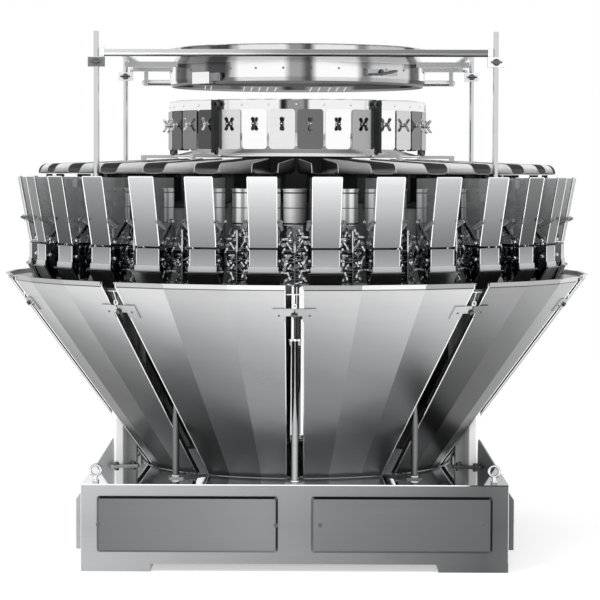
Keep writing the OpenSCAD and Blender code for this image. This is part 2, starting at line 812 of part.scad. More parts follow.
module post_brackets() {
    inner = body_r - bracket_back;
    end = post_r + bracket_end;
    stand = body_r - body_edge - plate_lap;
    color("silver") for (s = [-1, 1], b = [0, 180]) rotate([0, 0, b + s * post_az]) {
        translate([-bracket_w / 2, -end, bracket_z]) cube([bracket_w, end - inner, bracket_t]);
        translate([-bracket_w / 2, -stand, body_top_z]) cube([bracket_w, stand - inner, bracket_z - body_top_z]);
    }
}

module infeed_posts() {
    color("silver") at_corners(post_x, post_y) translate([0, 0, post_foot_z])
        cylinder(d = post_d, h = post_h, $fn = 48);
}

module infeed_clamps() {
    color("dimgray") for (sx = [-1, 1], sy = [-1, 1]) translate([sx * post_x, sy * post_y, 0]) difference() {
        union() {
            translate([0, 0, clamp_top_z - clamp_h / 2]) cube([clamp_w, 1.2 * tube_d, clamp_h], center = true);
            translate([-sx * (clamp_w - ear_t) / 2, 0, tube_z]) rotate([0, 90, 0])
                cylinder(d = 1.4 * tube_d, h = ear_t, center = true);
        }
        translate([0, 0, clamp_top_z - clamp_h - 1]) cylinder(d = post_d + 2 * fit, h = 3 * clamp_h, $fn = 48);
    }
}

module infeed_tubes() {
    color("silver") {
        for (s = [-1, 1]) translate([0, s * post_y, tube_z]) rotate([0, 90, 0])
            cylinder(d = tube_d, h = 2 * post_x - clamp_w, center = true);
        translate([0, post_y, tube_z - low_tube_drop]) rotate([0, 90, 0])
            cylinder(d = tube_d, h = 2 * (side_tube_x + low_tube_end), center = true);
    }
}

module infeed_side_tubes() {
    color("silver") for (s = [-1, 1]) translate([s * side_tube_x, 0, tube_z]) rotate([90, 0, 0])
        cylinder(d = side_tube_d, h = 2 * post_y - tube_d, center = true);
}

// The wall of the drum in [distance from the axis, height]: straight, drawn in to a neck, and
// turned out into a rim.
module infeed_drum() {
    neck = drum_r - neck_in;
    t = drum_t;
    color("silver") translate([0, 0, drum_z]) rotate_extrude() polygon([
        [drum_r - t, drum_hem], [drum_r, drum_hem], [drum_r, neck_z], [neck, neck_z + neck_rise],
        [neck, drum_h - t], [neck + rim_w, drum_h - t], [neck + rim_w, drum_h], [neck - t, drum_h],
        [neck - t, neck_z + neck_rise], [drum_r - t, neck_z]
    ]);
}

module drum_collar() {
    color("white") translate([0, 0, drum_z]) rotate_extrude() polygon([
        [drum_r - hem_in - drum_t, 0], [drum_r - hem_in, 0], [drum_r, drum_hem], [drum_r - drum_t, drum_hem]
    ]);
}

// Arms carry the drum on the side tubes, and straps carry the lower back tube.
module drum_arms() {
    top = tube_z - side_tube_d / 2;
    color("silver") for (sx = [0, 1]) mirror([sx, 0, 0]) {
        for (sy = [-1, 1]) difference() {
            translate([0, sy * drum_arm_y - drum_arm_w / 2, top - drum_arm_h])
                cube([side_tube_x + side_tube_d, drum_arm_w, drum_arm_h]);
            translate([0, 0, top - 2 * drum_arm_h]) cylinder(r = drum_r + fit, h = 3 * drum_arm_h, $fn = 360);
        }
        translate([side_tube_x - strap_w / 2, post_y - tube_d / 2 - strap_l, tube_z - low_tube_drop - tube_d / 2])
            cube([strap_w, strap_l, low_tube_drop + tube_d / 2 - side_tube_d / 2]);
    }
}

module drum_latch() {
    color("white") rotate([0, 0, latch_az]) difference() {
        translate([-latch_w / 2, -drum_r - latch_out, drum_z + latch_lift])
            cube([latch_w, 2 * latch_out, latch_h]);
        translate([0, 0, drum_z]) cylinder(r = drum_r + fit, h = drum_h, $fn = 360);
    }
}

module drum_lever() {
    color("gray") rotate([0, 0, lever_az]) difference() {
        translate([-lever_w / 2, -drum_r - lever_out, drum_z + lever_lift])
            cube([lever_w, 2 * lever_out, lever_h]);
        translate([0, 0, drum_z]) cylinder(r = drum_r + fit, h = drum_h, $fn = 360);
    }
}

base_walls();
base_top_plate();
foot_plates();
front_covers();
side_boxes();
eyebolts();
collecting_funnel();
chute_sections();
chute_stiffeners();
chute_clips();
legs();
leg_pads();
tie_rods();
rod_pads();
body_casing();
drive_housings();
drive_levers();
feed_hopper_fronts();
feed_hopper_sides();
feed_hopper_backs();
feed_hopper_gates();
weigh_hopper_fronts();
weigh_hopper_sides();
weigh_hopper_backs();
weigh_hopper_gates();
gate_levers();
hopper_hangers();
feeder_pans();
feeder_drives();
cone_pedestal();
dispersion_cone();
gate_collar();
gate_plates();
wing_knobs();
gate_uprights();
post_brackets();
infeed_posts();
infeed_clamps();
infeed_tubes();
infeed_side_tubes();
infeed_drum();
drum_collar();
drum_arms();
drum_latch();
drum_lever();
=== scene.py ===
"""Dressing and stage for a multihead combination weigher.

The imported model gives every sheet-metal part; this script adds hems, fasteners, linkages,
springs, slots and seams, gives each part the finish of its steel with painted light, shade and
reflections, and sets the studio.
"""
import math
from functools import cache, partial

import bpy
import numpy as np
from mathutils import Matrix, Vector


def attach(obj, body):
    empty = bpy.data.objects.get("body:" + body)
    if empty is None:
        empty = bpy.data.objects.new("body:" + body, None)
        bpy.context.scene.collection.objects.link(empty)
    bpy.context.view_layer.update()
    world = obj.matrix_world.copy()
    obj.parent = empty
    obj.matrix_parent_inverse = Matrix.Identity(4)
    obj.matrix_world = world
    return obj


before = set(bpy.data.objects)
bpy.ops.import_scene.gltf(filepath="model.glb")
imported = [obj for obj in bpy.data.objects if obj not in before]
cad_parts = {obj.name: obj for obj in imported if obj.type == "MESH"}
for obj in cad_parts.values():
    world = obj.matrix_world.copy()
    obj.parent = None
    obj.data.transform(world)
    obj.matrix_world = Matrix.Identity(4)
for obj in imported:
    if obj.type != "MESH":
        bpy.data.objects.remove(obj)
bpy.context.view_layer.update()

bl_info = {
    "name": "Multihead weigher dressing",
    "version": (1, 0, 0),
    "blender": (4, 5, 0),
    "location": "3D View > Sidebar > Weigher",
    "description": "Adds the fine parts, finishes and studio of a multihead combination weigher",
    "category": "Object",
}

MM = 0.001
HEADS = 30
PITCH = math.radians(360 / HEADS)
SECTION = 3 * PITCH
# Gaps between the chute sections, counted from the front, with a tie rod, a leg or an upright.
ROD_GAPS, LEG_GAPS, UPRIGHT_GAPS = (0, 1, 4, 5, 6, 9), (2, 3, 7, 8), (1, 3, 5, 7, 9)

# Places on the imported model, in millimetres from the axis or above the floor: _R is a radius, and
# FRONT is the radius of the drive housings' fronts.
BACK_R, FOOT_R, TOP_R = 920.0, 1015.0, 1058.0
FEED_FOOT, FEED_TOP, WEIGH_TOP, WEIGH_WALL = 1151.0, 1391.0, 1144.0, 1086.0
PAN_IN_R, PAN_OUT_R, PAN_FLOOR, PAN_TOP = 464.0, 980.0, 1401.0, 1457.0
DRIVE_R, FRONT, DRIVE_FOOT, DRIVE_TOP = 850.0, 891.0, 1224.0, 1346.0
GATE_R, KNOB_R, KNOB_Z, COLLAR_TOP = 485.0, 488.2, 1581.7, 1669.0
DRUM_R, DRUM_Z, DRUM_TOP = 485.0, 1728.0, 1872.0
BASE_HALF, BASE_TOP, PAD_TOP, ROD_R = 753.0, 310.0, 316.0, 727.0
CHUTE_FOOT_R, CHUTE_RIM_R, CHUTE_FOOT, CHUTE_LIP, CHUTE_RIM = 576.0, 1090.0, 312.0, 1012.0, 1028.0
POST_X, POST_Y, POST_TOP, CLAMP_Z, LOW_TUBE_Z = 706.0, 635.7, 1897.4, 1796.0, 1771.0

# The angle between two faces above which their edge is sharp.
SHARP = math.radians(32)


# Sizes and colours

def millimetres(name, text, value):
    """A length property in millimetres."""
    return bpy.props.FloatProperty(name=name, description=text, default=value, min=0.1, max=4000.0)


def measure(name, text, value, unit="NONE"):
    """A length in metres, an angle or a plain number of the stage."""
    return bpy.props.FloatProperty(name=name, description=text, default=value, unit=unit)


class WeigherSizes(bpy.types.PropertyGroup):
    """Sizes of the fine parts, in millimetres."""
    screw_d: millimetres("Screw head", "Diameter of a small pan-head screw", 11.0)
    bolt_d: millimetres("Bolt head", "Width of a hexagon bolt head", 17.0)
    hem_d: millimetres("Hem", "Thickness of a rolled sheet edge", 4.0)
    spring_d: millimetres("Spring", "Outer diameter of a hopper return spring", 15.0)
    wire_d: millimetres("Spring wire", "Diameter of the spring wire", 2.2)


class WeigherFinishes(bpy.types.PropertyGroup):
    """Colours of the moulded parts, as sRGB hex."""
    # The housings' near-black colour is painted shade.
    housing: bpy.props.StringProperty(name="Dark housing", description="Satin housing", default="#1d1e1f")


class WeigherStage(bpy.types.PropertyGroup):
    """Place and lens of the camera."""
    distance: measure("Camera distance", "Camera to machine axis", 8.831, "LENGTH")
    side: measure("Camera side", "Camera to the right of the axis", 0.069, "LENGTH")
    height: measure("Camera height", "Camera above the floor", 1.4032, "LENGTH")
    pan: measure("Pan", "Camera turned to the left", math.radians(0.368), "ROTATION")
    pitch: measure("Pitch", "Camera tilted down", math.radians(3.136), "ROTATION")
    roll: measure("Roll", "Camera rolled about its own axis", math.radians(0.162), "ROTATION")
    focal_px: measure("Focal length in pixels", "For a 600 pixel frame", 2310.4)


# Shapes as arrays

class Shape:
    """Vertices (n, 3) in millimetres with quads (q, 4) and triangles (t, 3)."""

    def __init__(self, verts, quads=(), tris=()):
        self.verts = np.asarray(verts, float).reshape(-1, 3)
        self.quads = np.asarray(quads, int).reshape(-1, 4)
        self.tris = np.asarray(tris, int).reshape(-1, 3)

    def moved(self, x=0.0, y=0.0, z=0.0):
        """The shape shifted by (x, y, z)."""
        return Shape(self.verts + np.array([x, y, z]), self.quads, self.tris)

    def turned(self, angle, axis="z"):
        """The shape turned by the rotation matrix of angle about one axis."""
        return Shape(self.verts @ turn(angle, axis).T, self.quads, self.tris)

    def mirrored(self):
        """The shape with x negated and its faces reversed so that they still point out."""
        return Shape(self.verts * np.array([-1, 1, 1]), self.quads[:, ::-1], self.tris[:, ::-1])


def turn(angle, axis="z"):
    """Rotation matrix by angle about the x, y or z axis."""
    c, s = math.cos(angle), math.sin(angle)
    i, j = {"x": (1, 2), "y": (2, 0), "z": (0, 1)}[axis]
    m = np.eye(3)
    m[i, i] = m[j, j] = c
    m[i, j], m[j, i] = -s, s
    return m


def joined(shapes):
    """All shapes in one, with the face indices shifted by the vertices that come before."""
    starts = np.cumsum([0] + [len(s.verts) for s in shapes[:-1]])
    return Shape(np.concatenate([s.verts for s in shapes]),
                 np.concatenate([s.quads + k for s, k in zip(shapes, starts)]),
                 np.concatenate([s.tris + k for s, k in zip(shapes, starts)]))


def ring(shape, angles):
    """Copies of a shape turned about the machine's axis by each angle."""
    return joined([shape.turned(a) for a in angles])


def heads(offset=0.5):
    """Azimuths of the heads, or with offset 0 of the spaces between them."""
    return (np.arange(HEADS) + offset) * PITCH


def gaps(which=range(10)):
    """Azimuths of the gaps between chute sections."""
    return [k * SECTION for k in which]


def revolved(profile, steps=32, start=0.0, sweep=2 * math.pi):
    """Surface of revolution about z: (r, z) of the profile at every angle of an even sweep."""
    profile = np.asarray(profile, float)
    full = abs(sweep - 2 * math.pi) < 1e-9
    a = start + np.linspace(0, sweep, steps, endpoint=not full)
    verts = np.stack([np.outer(np.cos(a), profile[:, 0]), np.outer(np.sin(a), profile[:, 0]),
                      np.tile(profile[:, 1], (len(a), 1))], axis=-1)
    return Shape(verts, grid_faces(len(a), len(profile), full, False))


def grid_faces(rows, columns, close_rows, close_columns):
    """Quads of a grid of rows by columns, wrapped round where asked."""
    i = np.arange(rows if close_rows else rows - 1)
    j = np.arange(columns if close_columns else columns - 1)
    i, j = np.meshgrid(i, j, indexing="ij")
    i2, j2 = (i + 1) % rows, (j + 1) % columns
    return np.stack([i * columns + j, i2 * columns + j, i2 * columns + j2, i * columns + j2], axis=-1)


def prism(outline, depth, bevel=0.0):
    """An outline (k, 2) carried along z from 0 to depth, its rims drawn in by the bevel.

    Each rim point moves along the mitre of its two sides, so that both sides move in by the bevel.
    """
    outline = np.asarray(outline, float)
    k = len(outline)
    before, after = outline - np.roll(outline, 1, 0), np.roll(outline, -1, 0) - outline
    unit = lambda v: v / np.linalg.norm(v, axis=1, keepdims=True)
    n1, n2 = [np.stack([-unit(v)[:, 1], unit(v)[:, 0]], 1) for v in (before, after)]
    mitre = (n1 + n2) / (1 + np.sum(n1 * n2, axis=1, keepdims=True))
    drawn = outline + mitre * bevel
    layers = [(drawn, 0.0), (outline, bevel), (outline, depth - bevel), (drawn, depth)]
    if bevel == 0:
        layers = [(outline, 0.0), (outline, depth)]
    verts = np.concatenate([np.column_stack([p, np.full(k, z)]) for p, z in layers])
    quads = grid_faces(len(layers), k, False, True)[..., ::-1]
    centre = np.array([[*drawn.mean(0), 0.0], [*drawn.mean(0), depth]])
    low, high = len(verts), len(verts) + 1
    i = np.arange(k)
    tris = np.concatenate([np.stack([np.full(k, low), (i + 1) % k, i], 1),
                           np.stack([np.full(k, high), (len(layers) - 1) * k + i,
                                     (len(layers) - 1) * k + (i + 1) % k], 1)])
    return Shape(np.concatenate([verts, centre]), quads, tris)


def rectangle(w, h, r=0.0, steps=4):
    """Corners of a rectangle, each an arc of radius r, counter-clockwise."""
    if r == 0:
        return np.array([[-w, -h], [w, -h], [w, h], [-w, h]]) / 2
    a = np.linspace(0, math.pi / 2, steps)
    arc = np.stack([np.cos(a), np.sin(a)], 1) * r
    corners = [(w / 2 - r, h / 2 - r), (r - w / 2, h / 2 - r), (r - w / 2, r - h / 2), (w / 2 - r, r - h / 2)]
    return np.concatenate([arc @ turn(k * math.pi / 2)[:2, :2].T + at for k, at in enumerate(corners)])


def block(w, d, h, bevel=1.0):
    """A box centred on x and y, standing on z 0, with bevelled rims."""
    return prism(rectangle(w, d), h, bevel)


def polygon(sides, r, phase=0.0):
    """A regular outline with its corners at radius r."""
    a = phase + np.arange(sides) * 2 * math.pi / sides
    return np.stack([np.cos(a), np.sin(a)], 1) * r


def tube(path, radius, sides=10, closed=False):
    """A circle carried along a path: each ring stands square to the path's direction.

    The ring's axes come from the direction and one fixed up vector, so it doesn't twist.
    """
    path = np.asarray(path, float)
    ahead = np.roll(path, -1, 0) - np.roll(path, 1, 0)
    if not closed:
        ahead[0], ahead[-1] = path[1] - path[0], path[-1] - path[-2]
    ahead /= np.linalg.norm(ahead, axis=1, keepdims=True)
    mean = np.abs(ahead).mean(0)
    up = np.eye(3)[int(np.argmin(mean))]
    side = np.cross(ahead, up)
    side /= np.linalg.norm(side, axis=1, keepdims=True)
    top = np.cross(side, ahead)
    a = np.linspace(0, 2 * math.pi, sides, endpoint=False)
    radius = np.broadcast_to(np.asarray(radius, float), (len(path),))
    verts = path[:, None] + radius[:, None, None] * (
        side[:, None] * np.cos(a)[None, :, None] + top[:, None] * np.sin(a)[None, :, None])
    quads = grid_faces(len(path), sides, closed, True)
    verts = verts.reshape(-1, 3)
    if closed:
        return Shape(verts, quads)
    i = np.arange(sides)
    last = (len(path) - 1) * sides
    ends = np.array([path[0], path[-1]])
    tris = np.concatenate([np.stack([np.full(sides, len(verts)), i, (i + 1) % sides], 1),
                           np.stack([np.full(sides, len(verts) + 1), last + (i + 1) % sides, last + i], 1)])
    return Shape(np.concatenate([verts, ends]), quads, tris)


def coil(radius, wire, turns, height, steps=10, sides=5):
    """A helix: the angle grows with the height, carried by a thin circle."""
    t = np.linspace(0, 1, int(turns * steps) + 1)
    a = t * turns * 2 * math.pi
    return tube(np.stack([radius * np.cos(a), radius * np.sin(a), t * height], 1), wire / 2, sides)


def hex_bolt(width, height, washer=1.6):
    """A hexagon head on a round washer, standing on z 0."""
    return joined([prism(polygon(16, width * 0.78), washer, 0.3),
                   prism(polygon(6, width / 2 / math.cos(math.pi / 6)), height, 0.9).moved(z=washer)])


def screw_head(d, height):
    """A domed head: height times the cosine of the angle from the pole to the rim."""
    a = np.linspace(0, math.pi / 2, 5)[::-1]
    profile = np.stack([d / 2 * np.sin(a), height * np.cos(a)], 1)
    return revolved(profile, 14)


def facing_out(shape):
    """A shape that stands on z 0 turned so that it stands out towards the front, -y."""
    return shape.turned(math.pi / 2, "x")


# Finishes

def linear(hex_colour):
    """sRGB hex to a linear RGBA colour. Two digits alone are a grey."""
    digits = hex_colour[1:] * (3 if len(hex_colour) == 3 else 1)
    srgb = np.array([int(digits[i:i + 2], 16) / 255 for i in (0, 2, 4)])
    rgb = np.where(srgb <= 0.04045, srgb / 12.92, ((srgb + 0.055) / 1.055) ** 2.4)
    return (*rgb.tolist(), 1.0)


def pairs(text):
    """(position, colour) pairs of a text in which they take turns, or of evenly spaced colours."""
    words = text.split()
    if words[0][0] == "#":
        return list(zip(np.linspace(0, 1, len(words)).tolist(), words))
    return [(float(position), colour) for position, colour in zip(words[::2], words[1::2])]


def fill(tree, node, *values, **links):
    """Sets or connects inputs, in order or by name. A node as a value stands for its output."""
    sockets = [*zip([socket for socket in node.inputs if socket.enabled], values),
               *[(node.inputs[key.replace("_", " ")], value) for key, value in links.items()]]
    for socket, value in sockets:
        if isinstance(value, bpy.types.Node):
            value = next(output for output in value.outputs if output.enabled)
        if isinstance(value, bpy.types.NodeSocket):
            tree.links.new(value, socket)
        else:
            socket.default_value = value


def add(tree, kind, *values, settings=None, stops=(), **links):
    """Adds a shader node with its settings and inputs. An arithmetic step's name follows its kind.

    The stops of a colour ramp are (position, hex colour) pairs or their text.
    """
    kind, *operation = kind.split()
    made = tree.nodes.new("ShaderNode" + kind)
    for key, value in {**(settings or {}), **{"operation": name for name in operation}}.items():
        setattr(made, key, value)
    if stops:
        elements = made.color_ramp.elements
        stops = pairs(stops) if isinstance(stops, str) else stops
        while len(elements) < len(stops):
            elements.new(0.5)
        for element, (position, colour) in zip(elements, stops):
            element.position, element.color = position, linear(colour)
    fill(tree, made, *values, **links)
    return made


# Settings of a node that multiplies two colours.
MULTIPLIED = {"data_type": "RGBA", "blend_type": "MULTIPLY"}


def new_material(name):
    """A material with its node tree and its shader."""
    material = bpy.data.materials.new(name)
    material.use_nodes = True
    return material, material.node_tree, material.node_tree.nodes["Principled BSDF"]


def fields(tree):
    """Sockets that a finish can follow: place, azimuth, flat and the way a face looks.

    azimuth is 0 at the front, grows towards +x and repeats every half turn, in degrees from -90 to
    90. plate is the azimuth of the middle of the 12 degree flat that a point lies on. side and
    off_centre are the sizes of the sines of plate and azimuth. slope is the height with a small lean
    across each flat. up and right are the z and x of the way a face looks, and corner is x plus y.
    outward and around say how far a face looks away from the axis and along the azimuth, behind is
    around with its sign turned on the left half, and away is around with its sign turned on the
    left half of each flat.
    """
    new = partial(add, tree)
    coordinates = new("TexCoord").outputs
    x, y, z = new("SeparateXYZ", coordinates["Object"]).outputs
    look_x, look_y, look_z = new("SeparateXYZ", coordinates["Normal"]).outputs
    angle = new("Math ARCTAN2", x, new("Math MULTIPLY", y, -1.0))
    flat = new("Math FLOOR", new("Math MULTIPLY_ADD", angle, 1 / PITCH, HEADS))
    middle = new("Math MULTIPLY_ADD", flat, PITCH, (0.5 - HEADS) * PITCH)
    lean = new("Math SUBTRACT", angle, middle)
    radius = new("Math SQRT", new("Math MULTIPLY_ADD", x, x, new("Math MULTIPLY", y, y)))
    span = new("Math MAXIMUM", radius, 0.001)
    outward = new("Math MULTIPLY_ADD", look_x, x, new("Math MULTIPLY", look_y, y))
    across = new("Math SUBTRACT", new("Math MULTIPLY", look_y, x), new("Math MULTIPLY", look_x, y))
    around = new("Math DIVIDE", across, span)

    def folded(value):
        """An angle as degrees from -90 to 90, repeated for the back."""
        turns = new("Math FRACT", new("Math MULTIPLY_ADD", value, 1 / math.pi, 2.5))
        return new("Math MULTIPLY_ADD", turns, 180.0, -90.0)

    return {
        "place": coordinates["Object"], "x": x, "y": y, "z": z, "radius": radius,
        "azimuth": folded(angle), "plate": folded(middle), "corner": new("Math ADD", x, y),
        "side": new("Math ABSOLUTE", new("Math SINE", middle)),
        "off_centre": new("Math ABSOLUTE", new("Math SINE", angle)),
        "slope": new("Math MULTIPLY_ADD", lean, 0.35, z), "up": look_z, "right": look_x,
        "outward": new("Math DIVIDE", outward, span), "around": around,
        "behind": new("Math MULTIPLY", around, new("Math SIGN", x)),
        "away": new("Math MULTIPLY", around, new("Math SIGN", lean)),
    }


def steel(name, tones, roughness=0.2, grain=(2.0, 2.0, 90.0), grain_depth=0.05, bump=0.02, metallic=1.0):
    """Stainless sheet or bar.

    tones are (field, low, high, stops), all multiplied: polished steel mirrors a bright room in
    bands and steps, and these paint such reflections, and light and shade, on the part itself. A fifth
    entry (field, low, high) says where a tone holds, from not at all to fully, and one with stops too
    holds by how light they are.
    grain is the brushing: noise drawn out along one direction, its pitch about 10 mm so that it
    shows at this distance, where the real scratches are under 1 mm.
    """
    material, tree, shader = new_material(name)
    at = fields(tree)
    mapped = add(tree, "Mapping", Vector=at["place"], Scale=grain)
    brush = add(tree, "TexNoise", Vector=mapped, Scale=1.0, Detail=4.0, Roughness=0.6)
    colour = add(tree, "Math MULTIPLY_ADD", brush, 2 * grain_depth, 1 - 1.2 * grain_depth)
    for field, low, high, stops, *where in tones:
        factor = 1.0
        if where:
            masked, start, end, *shades = where[0]
            factor = add(tree, "MapRange", at[masked], start, end)
            if shades:
                factor = add(tree, "ValToRGB", factor, stops=shades[0])
        tone = add(tree, "ValToRGB", add(tree, "MapRange", at[field], low, high), stops=stops)
        colour = add(tree, "Mix", factor, colour, tone, settings=MULTIPLIED)
    cloud = add(tree, "TexNoise", Vector=at["place"], Scale=3.0, Detail=2.0)
    rough = add(tree, "Math MULTIPLY_ADD", cloud, 0.4 * roughness, 0.8 * roughness)
    fill(tree, shader, Base_Color=colour, Roughness=rough, Metallic=metallic)
    if bump:
        fill(tree, shader, Normal=add(tree, "Bump", Height=brush, Strength=0.15, Distance=bump * MM))
    return material


def steps(text, soft=0.012, low=0, high=1):
    """Ramp stops that jump at each position from low to high and hold their colour to the next."""
    held = [((position - low) / (high - low), colour) for position, colour in pairs(text)]
    stops = [(0.0, held[0][1])]
    for (_, before), (position, colour) in zip(held, held[1:]):
        stops += [(max(position - soft, 0.0), before), (min(position + soft, 1.0), colour)]
    return stops


def bands(field, text, soft=0.012):
    """A tone in steps at each angle in degrees of a field from -90 to 90."""
    return field, -90, 90, steps(text, soft, -90, 90)


def moulded(name, colour, roughness=0.45, metallic=0.0, mottled=0.15):
    """Cast or moulded part: an even colour with a fine mottle and soft bump from the mould."""
    material, tree, shader = new_material(name)
    place = add(tree, "TexCoord").outputs["Object"]
    fine = add(tree, "TexNoise", Vector=place, Scale=180.0, Detail=3.0)
    shade = add(tree, "Math MULTIPLY_ADD", fine, 2 * mottled, 1 - mottled)
    fill(tree, shader, Base_Color=add(tree, "Mix", 1.0, linear(colour), shade, settings=MULTIPLIED),
         Metallic=metallic, Roughness=add(tree, "Math MULTIPLY_ADD", fine, 0.15, roughness - 0.07),
         Normal=add(tree, "Bump", Height=fine, Strength=0.2, Distance=0.1 * MM))
    return material


